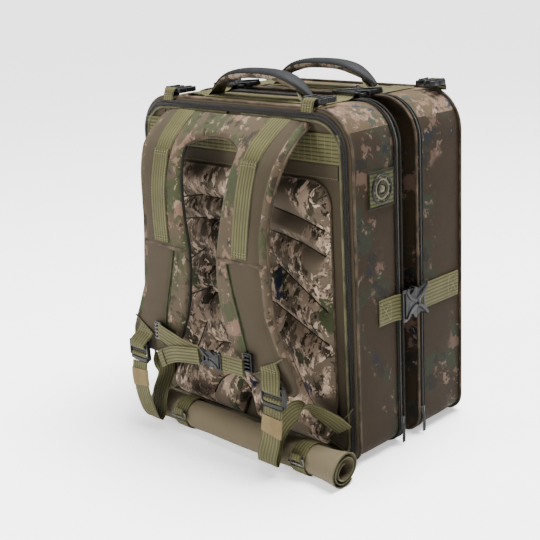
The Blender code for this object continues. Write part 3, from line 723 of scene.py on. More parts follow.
f = 1 - (1 - np.linspace(0, 1, 17)) ** 1.6
us = np.concatenate([ARCH_U * f, np.linspace(ARCH_U, HARNESS_U[-1] - 0.012, 100)[1:],
                     HARNESS_U[-1] - 0.012 * (1 - np.sin(np.linspace(0, math.pi / 2, 7)))[1:]])
inner, middle, trim, outer = (q[:, None] for q in strap_lines(us))
k = np.sin(np.linspace(0, math.pi / 2, 10))[None]
cross = np.concatenate([inner + (middle - inner) * (1 - k[:, ::-1]),
                        middle + (trim - middle) * np.linspace(0, 1, 12)[None, 1:],
                        trim + (outer - trim) * k[:, 1:]], 1)
U = np.broadcast_to(us[:, None], cross.shape)
above = np.clip(ARCH_U - U, 0, None)
rim = np.minimum(np.minimum(outer - cross, np.hypot(cross - inner, above)), HARNESS_U[-1] - U)
rim = np.where((above > 0) & (rim > above), np.maximum(rim, above), rim)
puff = 0.0016 * np.clip(rim / 0.03, 0, 1) + 0.0011 * ripple(cross, U, 5, 0.07) * np.clip(rim / 0.01, 0, 1)
groove = (0.0018 * np.exp(-((cross - middle) / 0.0045) ** 2) * (U > u_at(0.31))
          + 0.0014 * np.exp(-((cross - trim) / 0.003) ** 2))
thin = FOAM * 0.55 * np.clip(1 - U / 0.012, 0, 1)
lift_out = puff - groove - harness_rise(rim)
lift_in = -FOAM + harness_rise(rim) + thin
cols = np.linspace(-1, 1, 34)[None]
arch_u = (0.041 + (ARCH_U - 0.041) * np.abs(cols) ** 2.6)
mid_u = arch_u * f[:, None]
mid_x = inner[0, 0] * cols + 0 * mid_u
mid_rim = (arch_u - mid_u) * 0.9
mid_puff = (0.0016 * np.clip(mid_rim / 0.03, 0, 1)
            + 0.0011 * ripple(mid_x, mid_u, 5, 0.07) * np.clip(mid_rim / 0.01, 0, 1))
edge_out = lift_out[:17, 0]
mid_out = mid_puff - harness_rise(mid_rim)
fade = np.abs(cols) ** 8
mid_out = mid_out * (1 - fade) + edge_out[:, None] * fade
mid_in = -FOAM + harness_rise(mid_rim) + FOAM * 0.55 * np.clip(1 - mid_u / 0.012, 0, 1)
mid_in = mid_in * (1 - fade) + lift_in[:17, 0][:, None] * fade
parts = []
kind = np.where(U[:-1, :-1] > u_at(0.1545), 1, np.where(np.arange(cross.shape[1] - 1)[None] < 9, 0, 1))
kind = np.where((np.arange(cross.shape[1] - 1)[None] >= 20) & (U[:-1, :-1] < u_at(0.19)), 0, kind)
for sx in (1, -1):
    for lifts, m in ((lift_out, kind), (lift_in, 1)):
        parts.append((on_harness(sx * cross, U, lifts), xyz(sx * cross + 0.3 * sx, U), m))
    top_rim = np.stack([on_harness(sx * cross[0], us[0], lift_out[0]),
                        on_harness(sx * cross[0], us[0], lift_in[0])])
    parts.append((top_rim, top_rim[..., ::2], 1))
for lifts, m in ((mid_out, 0), (mid_in, 1)):
    parts.append((on_harness(mid_x, mid_u, lifts), xyz(mid_x, mid_u), m))
top_rim = np.stack([on_harness(mid_x[0], 0, mid_out[0]), on_harness(mid_x[0], 0, mid_in[0])])
parts.append((top_rim, top_rim[..., ::2], 1))
harness = put("padded_harness", parts, [STRAP_CLOTH, PLAIN_CLOTH], "back_module",
              merge=1e-4,
              replace=("harness_yoke", "shoulder_strap_left", "shoulder_strap_right"))

# Binding round the harness's edge, slate on the inner sides and printed outside.
keep = us > ARCH_U
for sx, tag in ((1, "right"), (-1, "left")):
    rail_in = on_harness(sx * inner[keep, 0], us[keep], -FOAM / 2)
    tip = on_harness(sx * cross[-1], HARNESS_U[-1], -FOAM / 2)
    rail_out = on_harness(sx * outer[:, 0], us, -FOAM / 2)[::-1]
    put("strap_inner_binding_" + tag, pipe(rail_in, 0.0024), DARK_BIND, "back_module")
    put("strap_outer_binding_" + tag, pipe(np.vstack([tip[::2], rail_out[1:]]), 0.0022), PRINT_BIND,
        "back_module")
arch = on_harness(mid_x[-1], mid_u[-1], -FOAM / 2)
put("arch_binding", pipe(arch, 0.0022), PRINT_BIND, "back_module")

# Webbing down each strap, folded back on itself at the collar and stitched there, then a cross seam.
for sx, tag in ((1, "right"), (-1, "left")):
    u = np.linspace(0.0, u_at(0.449), 24)
    x = along_strap((0.505, 0.449), (0.1010, 0.0945), u)
    put("strap_webbing_upper_" + tag, tape(on_harness(sx * x, u, 0.0013),
                                           np.interp(u, [0, u[-1]], [0.038, 0.034]),
        0.0017 * sx, side=(sx, 0, 0), level=True, edge_r=0.4 * sx), WEB_38,
        replace=("strap_webbing_" + tag,))
    u = np.linspace(u_at(0.455), u_at(0.319), 50)
    x = along_strap((0.455, 0.40, 0.319), (0.0950, 0.0925, 0.0850), u)
    lift = 0.0013 + 0.0022 * np.clip(1 - (u - u[0]) / 0.020, 0, 1)
    put("strap_webbing_lower_" + tag, tape(on_harness(sx * x, u, lift), 0.033, 0.0018 * sx, side=(sx, 0, 0),
                                           level=True,
        edge_r=0.4 * sx), WEB_38)
    rows = []
    for z in (0.451, 0.4475, 0.327, 0.323):
        a = u_at(z)
        c = along_strap((0.455, 0.40, 0.319), (0.0950, 0.0925, 0.0850), a)
        xs = c + np.linspace(-0.0155, 0.0155, 9)
        rows.append(on_harness(sx * xs, a, 0.0036 if z < 0.4 else 0.0054))
    for e in (-0.0145, 0.0145):
        rows.append(on_harness(sx * (x + e), u, lift + 0.0021))
    thread("strap_webbing_stitches_" + tag, rows, "back_module")
    i, _, _, o = strap_lines(np.array([u_at(0.317)]))
    xs = np.linspace(i[0] - 0.001, o[0] + 0.001, 40)
    dip = on_harness(sx * xs, u_at(0.312) - 0.02 * (xs - 0.085),
                     np.interp(xs, [i[0], i[0] + 0.006, o[0] - 0.006, o[0]],
                                                                       [-0.006, 0.0010, 0.0010, -0.006]))
    put("strap_cross_tape_" + tag, tape(dip, 0.0045, 0.0011, side=(0, -0.05 * sx, sx)), PRINT_BIND)
    # rail that carries the chest strap: a thin cord under a narrow tape, from the cross seam down
    u = np.linspace(u_at(0.306), u_at(0.150), 60)
    _, x, _, _ = strap_lines(u)
    line = on_harness(sx * x, u, 0.0002)
    put("chest_rail_tape_" + tag, tape(line, 0.0062, 0.0010 * sx, side=(sx, 0, 0), level=True,
                                       edge_r=0.4 * sx),
        RAIL)
    put("chest_rail_" + tag, pipe(on_harness(sx * x, u, 0.0022), 0.0016, 8), RAIL)
    # seam across the strap's foot, its piping and the webbing loop that holds the ladder lock
    seam = np.array([(0.100, 0.1475), (0.120, 0.1570), (0.145, 0.1730), (0.1640, 0.1860)])
    q = smooth_path([(a, 0, b) for a, b in seam], 0.004)
    line = on_harness(sx * q[:, 0], u_at(q[:, 2]), 0.0026)
    put("strap_foot_piping_" + tag, pipe(line, 0.0014, 8), OLIVE_BIND)
    loop = smooth_path([(0.136 * sx, -0.1455, 0.171), (0.1415 * sx, -0.1480, 0.160),
                        (0.147 * sx, -0.1535, 0.150),
                        (0.151 * sx, -0.1572, 0.1425), (0.151 * sx, -0.1565, 0.1365),
                        (0.150 * sx, -0.1510, 0.139),
                        (0.146 * sx, -0.1475, 0.146)], 0.002)
    put("lock_loop_" + tag, tape(loop, 0.034, 0.0016 * sx, side=(sx, 0, 0), edge_r=0.4 * sx), WEB_38)
    thread("lock_loop_stitches_" + tag, [[(0.1245 * sx, -0.1495, 0.1665), (0.1530 * sx, -0.1495, 0.1665)],
                                         [(0.1255 * sx, -0.1505, 0.1635), (0.1545 * sx, -0.1505, 0.1635)]],
           "back_module")

# ---- Plastic hardware --------------------------------------------------------------------------
# Moulded acetal in near-black grey with a light spark-eroded texture: ladder locks at the foot of
# each strap, the chest strap's buckle and its two clips.


def moulded(name, colour, rough=0.42):
    """Moulded acetal: fine spark-eroded grain, and soft cloudy patches a little lighter or darker, glossier or
    duller.
    """
    mat, tree, shader = surface(name, rough, Specular_IOR_Level=0.22)
    place = node(tree, "TexCoord", out="Object")
    grain = node(tree, "TexNoise", {"Vector": place}, Scale=900.0, Detail=2.0)
    cloud = node(tree, "TexNoise", {"Vector": place}, Scale=55.0, Detail=3.0)
    level = node(tree, "MapRange", {"Value": cloud}, _1=0.3, _2=0.7, _3=0.8, _4=1.25)
    worn = node(tree, "VectorMath", {"Scale": level}, operation="SCALE", _0=srgb(colour)[:3])
    tree.links.new(worn, shader.inputs["Base Color"])
    shine = node(tree, "MapRange", {"Value": cloud}, _1=0.3, _2=0.7, _3=rough - 0.08,
                 _4=rough + 0.1)
    tree.links.new(shine, shader.inputs["Roughness"])
    bump = node(tree, "Bump", {"Height": grain}, Strength=0.25, Distance=0.0002)
    tree.links.new(bump, shader.inputs["Normal"])
    return mat


PLASTIC = moulded("black_grey_acetal", "#0a0a0a", 0.48)


def soften(points, r):
    """Outline with each corner replaced by a short curve that starts r away from it."""
    p = np.array(points, float)
    a, b = (p + unit(q - p) * np.minimum(r, 0.45 * np.linalg.norm(q - p, axis=1)[:, None])
            for q in (np.roll(p, 1, 0), np.roll(p, -1, 0)))
    t = np.linspace(0, 1, 5)[None, :, None]
    return ((1 - t) ** 2 * a[:, None] + 2 * t * (1 - t) * p[:, None] + t ** 2 * b[:, None]).reshape(-1, 2)


def arm(points, width):
    """Outline of a bar that follows a line of points."""
    q = smooth_path([(x, y, 0) for x, y in points], 0.0015)[:, :2]
    t = unit(np.gradient(q, axis=0))
    n = xyz(-t[:, 1], t[:, 0]) * width / 2
    return np.vstack([q + n, (q - n)[::-1]])


def moulding(name, plates, place, mat, body, replace=()):
    """One moulded piece from flat plates: each is (outline, holes, low, high, edge rounding), drawn flat
    and put in place by place(a, c, h), which takes arrays and gives points."""
    out = bmesh.new()
    for outline, holes, low, high, r in plates:
        curve = bpy.data.curves.new("plate", "CURVE")
        curve.dimensions, curve.fill_mode, curve.offset = "2D", "BOTH", -r
        curve.extrude, curve.bevel_depth, curve.bevel_resolution = (high - low) / 2 - r, r, 2
        for loop in [outline] + list(holes):
            line = curve.splines.new("POLY")
            line.points.add(len(loop) - 1)
            line.points.foreach_set("co",
                                    np.hstack([loop, np.zeros((len(loop), 1)),
                                               np.ones((len(loop), 1))]).ravel())
            line.use_cyclic_u = True
        shape = bpy.data.objects.new("plate", curve)
        mesh = bpy.data.meshes.new_from_object(shape)
        v = np.zeros(len(mesh.vertices) * 3)
        mesh.vertices.foreach_get("co", v)
        v = v.reshape(-1, 3)
        v = place(v[:, 0], v[:, 1], v[:, 2] + (low + high) / 2)
        mesh.vertices.foreach_set("co", np.ascontiguousarray(v).ravel())
        mend(mesh, 2e-6)
        out.from_mesh(mesh)
        bpy.data.objects.remove(shape)
        bpy.data.curves.remove(curve)
        bpy.data.meshes.remove(mesh)
    mesh = bpy.data.meshes.new(name)
    out.to_mesh(mesh)
    out.free()
    return seat(name, mesh, mat, body, replace, sharp=35)


def box_outline(x0, x1, y0, y1, r=0.001):
    return soften([(x0, y0), (x1, y0), (x1, y1), (x0, y1)], r)


for sx, tag in ((1, "right"), (-1, "left")):
    lx, ly, lz = 0.151 * sx, -0.1525, 0.133
    at = lambda a, c, h, lx=lx, ly=ly, lz=lz: xyz(lx + a, ly + 0.0035 - h, lz + c)
    body_outline = soften([(-0.0235, -0.0165), (-0.019, -0.020), (0.019, -0.020), (0.0235, -0.0165),
                           (0.0215, 0.013),
                           (0.0185, 0.0148), (-0.0185, 0.0148), (-0.0215, 0.013)], 0.003)
    window = box_outline(-0.0188, 0.0188, -0.0125, -0.0052, 0.001)
    slit = box_outline(-0.0182, 0.0182, 0.0020, 0.0100, 0.001)
    lip = arm([(-0.020, -0.0160), (-0.010, -0.0172), (0.010, -0.0172), (0.020, -0.0160)], 0.0062)
    cheeks = [arm([(k * 0.0212, -0.0135), (k * 0.0212, 0.002), (k * 0.0200, 0.0125)], 0.0036)
              for k in (1, -1)]
    teeth = [arm([(-0.0185, c), (0.0185, c)], 0.0016) for c in (-0.0035, -0.0008)]
    moulding("ladder_lock_body_" + tag, [(body_outline, [window, slit], 0.0005, 0.0052, 0.0009),
                                         (lip, [], 0.004, 0.0082, 0.0012)]
             + [(c, [], 0.004, 0.0078, 0.0010) for c in cheeks] + [(c, [], 0.0045, 0.0062, 0.0005)
                                                                   for c in teeth],
             at, PLASTIC, "ladder_lock_" + tag, replace=("ladder_lock_" + tag,))
    fold = smooth_path([(lx, ly - 0.0022, lz + 0.0098), (lx, ly - 0.0050, lz + 0.0080),
                        (lx, ly - 0.0052, lz + 0.0035),
                        (lx, ly - 0.0020, lz + 0.0015)], 0.001)
    put("lock_fold_" + tag, tape(fold, 0.0355, 0.0015 * sx, side=(sx, 0, 0), edge_r=0.4 * sx), WEB_38,
        "ladder_lock_" + tag)
    fold = smooth_path([(lx, ly + 0.0010, lz - 0.0060), (lx, ly - 0.0030, lz - 0.0085),
                        (lx, ly - 0.0020, lz - 0.0125),
                        (lx, ly + 0.0035, lz - 0.0190), (lx, ly - 0.0005, lz - 0.0235)], 0.001)
    put("lock_lower_fold_" + tag, tape(fold, 0.0355, 0.0015 * sx, side=(sx, 0, 0), edge_r=0.4 * sx), WEB_38,
        "ladder_lock_" + tag)

# Adjusting webbing below each lock: down past the roll, back up in a slack loop and into a corner tab.
KEEPER = binding_cloth("tan_elastic_keeper", "#65573a", "#574930", 0.0)
for sx, tag in ((1, "right"), (-1, "left")):
    low = smooth_path([(0.151 * sx, -0.1545, 0.1105), (0.150 * sx, -0.1575, 0.090),
                       (0.145 * sx, -0.1580, 0.060),
                       (0.135 * sx, -0.1565, 0.032), (0.1305 * sx, -0.1495, 0.0175),
                       (0.1305 * sx, -0.1430, 0.026),
                       (0.132 * sx, -0.1350, 0.056), (0.140 * sx, -0.1130, 0.082),
                       (0.160 * sx, -0.1000, 0.095),
                       (0.185 * sx, -0.0860, 0.086), (0.1985 * sx, -0.0575, 0.056)], 0.003)
    part = np.linspace(0, 1, len(low))
    turn = np.clip((part - 0.66) / 0.24, 0, 1) * 0.80
    across = xyz(sx * np.cos(turn), 0 * turn, np.sin(turn))
    put("adjusting_webbing_" + tag, tape(low, np.interp(part, [0, 0.7, 0.9, 1], [0.036, 0.035, 0.032, 0.028]),
        0.0018 * sx, side=across, edge_r=0.4 * sx), WEB_38,
        replace=("lower_webbing_" + tag,))
    sleeve = low[(low[:, 2] > 0.070) & (low[:, 1] < -0.150) & (low[:, 2] < 0.100)]
    put("elastic_keeper_" + tag, tape(sleeve, 0.0385, 0.0042 * sx, side=(sx, 0, 0), lift=-0.0012 * sx,
                                      edge_r=0.3 * sx),
        KEEPER)
    tab = [(0.2145 * sx, 0.094), (0.1690 * sx, 0.036), (0.2050 * sx, 0.0155), (0.2145 * sx, 0.022)]
    a, b, c, d = (np.array([x, y_face - 0.0004, z]) for x, z in tab)
    s, t = np.linspace(0, 1, 10)[:, None, None], np.linspace(0, 1, 10)[None, :, None]
    face_tab = (a * (1 - s) + b * s) * (1 - t) + (d * (1 - s) + c * s) * t
    face_tab[..., 1] -= (0.0062 * np.sin(math.pi * s * 0.5) * (1 - t) ** 1.5)[..., 0]
    back_tab = face_tab + [0, 0.0014, 0]
    rim = [np.stack([face_tab[0], back_tab[0]]), np.stack([face_tab[-1], back_tab[-1]]),
           np.stack([face_tab[:, 0], back_tab[:, 0]]), np.stack([face_tab[:, -1], back_tab[:, -1]])]
    put("corner_tab_" + tag, [(p, p[..., ::2], 0) for p in [face_tab, back_tab] + rim], PLAIN_CLOTH,
        "back_module")
    put("corner_tab_piping_" + tag, pipe(face_tab[:, 0] - [0, 0.0004, 0], 0.0016, 8), OLIVE_BIND)
    put("corner_tab_foot_piping_" + tag, pipe(face_tab[-1] - [0, 0.0004, 0], 0.0013, 8), OLIVE_BIND)


def side_release(tag, place, width, female, male, nodes_f, nodes_m):
    """Side-release buckle drawn for 50 mm width and 62 mm length: a socket with a slotted bar and bitten
    sides, prongs with horned ends, and a raised cross over both."""
    k = width / 0.050
    S = lambda pts, r=0.002: soften(np.array(pts) * k / 1000, r * k)
    bites = [(0, -22), (2, -24.5), (10, -25), (13, -22.5), (17, -15.5), (24, -15.5), (29, -22.5), (34, -24.5),
             (34, 24.5), (29, 22.5), (24, 15.5), (17, 15.5), (13, 22.5), (10, 25), (2, 24.5), (0, 22)]
    bar = S([(3.2, -19.5), (7.8, -19.5), (7.8, 19.5), (3.2, 19.5)], 0.001)
    floor_plate = [(9, -24), (13, -22.5), (17, -15.5), (24, -15.5), (29, -22.5), (34, -24), (34, 24),
                   (29, 22.5),
                   (24, 15.5), (17, 15.5), (13, 22.5), (9, 24)]
    plates = [(S(bites), [bar], 0.0078 * k, 0.0106 * k, 0.0007 * k),
              (S(floor_plate), [], 0.0003 * k, 0.0024 * k, 0.0006 * k),
              (S([(8.6, -24), (12, -23), (12, 23), (8.6, 24)], 0.001), [], 0.001 * k, 0.0092 * k, 0.0006 * k)]
    for c in (-1, 1):
        plates.append((S([(30.5, 20.5 * c), (33.8, 20.5 * c), (33.8, 24 * c), (30.5, 24 * c)][::c], 0.001),
                       [], 0.001 * k,
                       0.0092 * k, 0.0006 * k))
        plates.append((arm(np.array([(33.6, 3.2 * c), (25, 6.5 * c), (17, 12.0 * c),
                                     (10.6, 21.5 * c)]) * k / 1000,
                           0.0050 * k), [], 0.0098 * k, 0.0124 * k, 0.0010 * k))
    plates.append((arm(np.array([(1.4, -21), (1.4, 21)]) * k / 1000, 0.0030 * k), [], 0.0088 * k, 0.0118 * k,
                   0.0010 * k))
    moulding(female, plates, place, PLASTIC, "back_module", replace=nodes_f)
    horns = [(34.8, -23.5), (34.8, 23.5), (44, 17.5), (52, 19.5), (60, 25), (62, 24), (61, 17), (57, 11),
             (56, 0),
             (57, -11), (61, -17), (62, -24), (60, -25), (52, -19.5), (44, -17.5)]
    slot_m = S([(47, -12.5), (51.5, -12.5), (51.5, 12.5), (47, 12.5)], 0.001)
    tine = [(35.5, 17), (24, 16.5), (20.5, 13.5), (15, 15.5), (14.5, 18.5), (18.5, 21.8), (23, 22.3),
            (27, 20.5),
            (35.5, 21.8)]
    plates = [(S(horns), [slot_m], 0.0030 * k, 0.0094 * k, 0.0009 * k),
              (S([(35.5, -3.6), (18, -3.0), (18, 3.0), (35.5, 3.6)], 0.001), [], 0.0030 * k, 0.0072 * k,
               0.0007 * k)]
    for c in (-1, 1):
        plates.append((S([(a, b * c) for a, b in tine][::c], 0.001), [], 0.0030 * k, 0.0074 * k, 0.0008 * k))
        plates.append((arm(np.array([(35.4, 3.2 * c), (44, 7.5 * c), (52, 14.5 * c),
                                     (60.4, 23.2 * c)]) * k / 1000,
                           0.0050 * k), [], 0.0084 * k, 0.0124 * k, 0.0010 * k))
    return moulding(male, plates, place, PLASTIC, tag, replace=nodes_m)


def place_chest(a, c, h):
    """Chest buckle: its length runs along -X and its face looks along -Y."""
    return xyz(0.0500 - a * 1.38, -0.1515 - h * 1.20, 0.157 + c)


side_release("sternum_male", place_chest, 0.028, "chest_buckle_socket", "chest_buckle_prongs",
             ("sternum_female",),
             ("sternum_male",))
SB = -0.1560
line = smooth_path([(-0.0985, SB + 0.002, 0.1755), (-0.0914, SB, 0.1735), (-0.070, SB - 0.0012, 0.1690),
                    (-0.035, SB - 0.0012, 0.1610), (-0.006, SB - 0.0005, 0.1575),
                    (0.003, SB - 0.0010, 0.157)], 0.003)
put("chest_webbing", tape(line, 0.025, 0.0016, side=(0, 0, -1), lift=-0.0008), WEB_25, "sternum_male",
    replace=("sternum_webbing",))
tail = smooth_path([(0.002, SB - 0.0032, 0.1565), (-0.020, SB - 0.0040, 0.1535),
                    (-0.050, SB - 0.0050, 0.1485),
                    (-0.076, SB - 0.0035, 0.1385), (-0.0925, SB - 0.0015, 0.1290)], 0.003)
put("chest_webbing_tail", tape(tail, 0.024, 0.0016, side=(0, 0, -1)), WEB_25, "sternum_male")
t, s, n = directions(tail, (0, 0, -1))
put("chest_tail_fold", tape(tail[-6:], 0.0245, 0.0018, side=(0, 0, -1), lift=0.0016), WEB_25, "sternum_male")
thread("chest_tail_stitches", [tail[-7] + n[-7] * 0.0020 + s[-7] * np.linspace(-0.011, 0.011, 6)[:, None],
                               tail[-2] + n[-2] * 0.0038 + s[-2] * np.linspace(-0.011, 0.011, 6)[:, None]],
       "sternum_male")
line = xyz(np.linspace(0.0470, 0.0935, 16), np.full(16, SB - 0.0002), np.linspace(0.1572, 0.1585, 16))
put("chest_loop", tape(line, 0.025, 0.0026, side=(0, 0, 1), lift=-0.0013), WEB_25,
    replace=("sternum_loop",))
rows = [[(x, SB - 0.0020, 0.1465), (x, SB - 0.0020, 0.1685)] for x in (0.0635, 0.0665)]
thread("chest_loop_stitches", rows, "back_module", pitch=0.0030, length=0.0022)
STEEL_CLIP = moulded("bead_blasted_steel", "#434342", 0.36)
STEEL_CLIP.node_tree.nodes["Principled BSDF"].inputs["Metallic"].default_value = 1.0
STEEL_CLIP.node_tree.nodes["Principled BSDF"].inputs["Specular IOR Level"].default_value = 0.5
for sx, tag, dz in ((1, "right", 0.0), (-1, "left", 0.006)):
    at = lambda a, c, h, sx=sx, dz=dz: xyz(0.100 * sx + a, -0.1462 - h, 0.167 + dz + c)
    holes = [box_outline(-0.0050, 0.0052, c - 0.0019, c + 0.0019, 0.0008)
             for c in (-0.0085, -0.0028, 0.0028, 0.0085)]
    comb = [(arm([(-0.0068, c), (0.0058, c)], 0.0022), [], 0.0050, 0.0084, 0.0006)
            for c in (-0.0115, -0.0057, 0, 0.0057, 0.0115)]
    moulding("chest_clip_" + tag, [(box_outline(-0.0078, 0.0078, -0.0148, 0.0148, 0.002), holes, 0.0012,
                                    0.0062, 0.0009)]
             + comb, at, PLASTIC if sx > 0 else STEEL_CLIP, "back_module", replace=("sternum_clip_" + tag,))

# ---- Rolled harness cover ----------------------------------------------------------------------
# A plain cloth flap that can be drawn over the harness, rolled up at its foot: one sheet with a
# stitched hem, held by two narrow webbing loops that close with bent-steel hooks.
ROLL_Y, ROLL_Z = BACK_Y0 - 0.056, 0.0256
COVER_CLOTH = camouflage("plain_cover_polyester", ("#595140", "#4f4635"), (("#473f30", 0.09, 0.62),), 0.0)


def roll_sheet():
    """Spiral of 2.6 turns carried along X: its radius breathes with soft folds and opens at the free end."""
    x = np.concatenate([np.linspace(-0.165, 0.20, 90), np.linspace(0.2015, 0.243, 26)])[:, None]
    s = np.linspace(0, 1, 150)[None]
    ang = 2 * math.pi * 2.6 * (s - 1) + math.radians(-52)
    flare = np.clip((x - 0.195) / 0.048, 0, 1) ** 1.6
    r = 0.0128 + (0.0230 - 0.0128) * s + flare * (0.0012 + 0.0045 * s * (1 + np.sin(ang)) / 2
                                                  - 0.0016 * (1 - s))
    pinch = np.exp(-((x - 0.173) / 0.013) ** 2) + np.exp(-((x + 0.085) / 0.013) ** 2)
    dent = 0.085 * ripple(x, 0.022 * np.cos(ang), 21, 0.10) + 0.05 * ripple(x, 0.022 * np.sin(ang), 5, 0.06)
    r = r * (1 + dent * (1 - pinch) + 0.09 * flare * np.cos(2 * (ang - 0.7))) + 0.0008 * (1 - pinch) * s
    y = ROLL_Y + r * np.cos(ang) * (1 + 0.05 * flare)
    z = ROLL_Z + r * np.sin(ang)
    z = np.maximum(z, 0.0013)
    reach = np.concatenate([[0], np.cumsum(np.hypot(np.diff(y[0]), np.diff(z[0])))])
    UV = xyz(np.broadcast_to(x, y.shape), np.broadcast_to(reach[None], y.shape))
    return xyz(np.broadcast_to(x, y.shape), y, z), UV, reach[-1]


P, UV, reach = roll_sheet()
roll = put("rolled_cover_cloth", [(P, UV, 0)], COVER_CLOTH, "back_module", merge=1e-7,
           replace=("rolled_cover",))
thickness = roll.modifiers.new("cloth thickness", "SOLIDIFY")
thickness.thickness, thickness.offset = 0.0011, -1
roll.modifiers[0].offset = 0
hem_line = P[-1]
hem = put("cover_hem", pipe(hem_line[::2], 0.0011, 8), OLIVE_BIND)
edge_hem = put("cover_edge_hem", pipe(P[::2, -1], 0.0010, 8), COVER_CLOTH, "back_module")
outward = lambda i, k: P[i, k] + 0.0011 * xyz(0 * P[i, k, 0], P[i, k, 1] - ROLL_Y,
                                              P[i, k, 2] - ROLL_Z) / 0.023
thread("cover_hem_stitches", [outward(-7, slice(92, 149)), outward(slice(0, 115), -5)], "back_module",
       THREAD)

HOOK = moulded("polished_bent_steel", "#4e4e4c", 0.34)
HOOK.node_tree.nodes["Principled BSDF"].inputs["Metallic"].default_value = 1.0
for x0, tag in ((0.173, "right"), (-0.085, "left")):
    ang = np.linspace(math.radians(150), math.radians(150 + 380), 70)
    r = np.interp(ang, [ang[0], ang[0] + 0.35, ang[-1]], [0.0262, 0.0248, 0.0246])
    loop = xyz(np.full(70, x0), ROLL_Y + r * np.cos(ang), ROLL_Z + r * np.sin(ang))
    put("cover_loop_" + tag, tape(loop, 0.0255, 0.0013, side=(-1, 0, 0), lift=0.0), WEB_25,
        replace=("cover_strap_" + tag,))
    turned = xyz(np.full(12, x0), ROLL_Y + 0.0264 * np.cos(ang[8:20]), ROLL_Z + 0.0264 * np.sin(ang[8:20]))
    put("cover_loop_end_" + tag, tape(turned, 0.0262, 0.0015, side=(-1, 0, 0)), WEB_25)
    hy, hz = ROLL_Y - 0.0235 - 0.0040, ROLL_Z + 0.004
    wire = [(-0.0155, 0.0045), (0.0155, 0.0045), (0.0155, -0.0045), (-0.0155, -0.0045), (-0.0155, 0.0008),
            (-0.004, 0.0008)]
    q = []
    for (ax, az), (bx, bz) in zip(wire[:-1], wire[1:]):
        for k in np.linspace(0.12, 0.88, 6):
            q.append((x0 + ax + (bx - ax) * k, hy, hz + az + (bz - az) * k))
    put("bent_steel_hook_" + tag, pipe(smooth_path(q, 0.0010), 0.0013, 10), HOOK, "cover_hook_" + tag,
        replace=("cover_hook_" + tag,))
    put("hook_tab_" + tag, tape(np.array([[x0, hy + 0.0006, hz + 0.0105], [x0, hy - 0.0018, hz + 0.0060],
        [x0, hy - 0.0020, hz + 0.0030], [x0, hy - 0.0002, hz + 0.0012]]), 0.022, 0.0011, side=(1, 0, 0)),
        WEB_25)

# ---- Top handles -------------------------------------------------------------------------------
# Two padded carrying handles: a foam core in smooth dark neoprene above and printed cloth below,
# sewn to the ends of 38 mm webbing that is box-stitched to the top of each module.
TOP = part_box("handle_webbing_back")[0][2] - 0.0004


def neoprene():
    """Smooth laminated neoprene: matt dark grey with a fine 1.2 mm knit and shallow pressure marks."""
    mat, tree, shader = surface("laminated_neoprene", 0.7, Specular_IOR_Level=0.12)
    uv = node(tree, "TexCoord", out="UV")
    cells = node(tree, "TexVoronoi", {"Vector": uv}, Scale=850.0)
    cloud = node(tree, "TexNoise", {"Vector": uv}, Scale=35.0, Detail=4.0)
    mix = node(tree, "Mix", {"Factor": cloud}, out=2, data_type="RGBA", _6=srgb("#111213"),
               _7=srgb("#1b1c1d"))
    tree.links.new(mix, shader.inputs["Base Color"])
    bump = node(tree, "Bump", {"Height": cells}, Strength=0.25, Distance=0.0003)
    tree.links.new(bump, shader.inputs["Normal"])
    return mat


NEOPRENE = neoprene()
HANDLE_CLOTH = camouflage("printed_handle_cloth", ("#584c3e", "#473c2f"), (
    ("#736759", 0.030, 0.50), ("#322e25", 0.022, 0.56), ("#272931", 0.030, 0.61)), 0.45, streak=0.6)


def box_stitch(name, a, b, c, d, body):
    """Square of stitches with a cross in it; a, b, c and d are its corners in turn."""
    a, b, c, d = (np.array(p, float) for p in (a, b, c, d))
    inset = lambda p, q: p + (q - p) * 0.02
    return thread(name, [[inset(p, q), inset(q, p)] for p, q in ((a, b), (b, c), (c, d), (d, a), (a, c),
                                                                 (b, d))], body,
                  pitch=0.0036, length=0.0026)


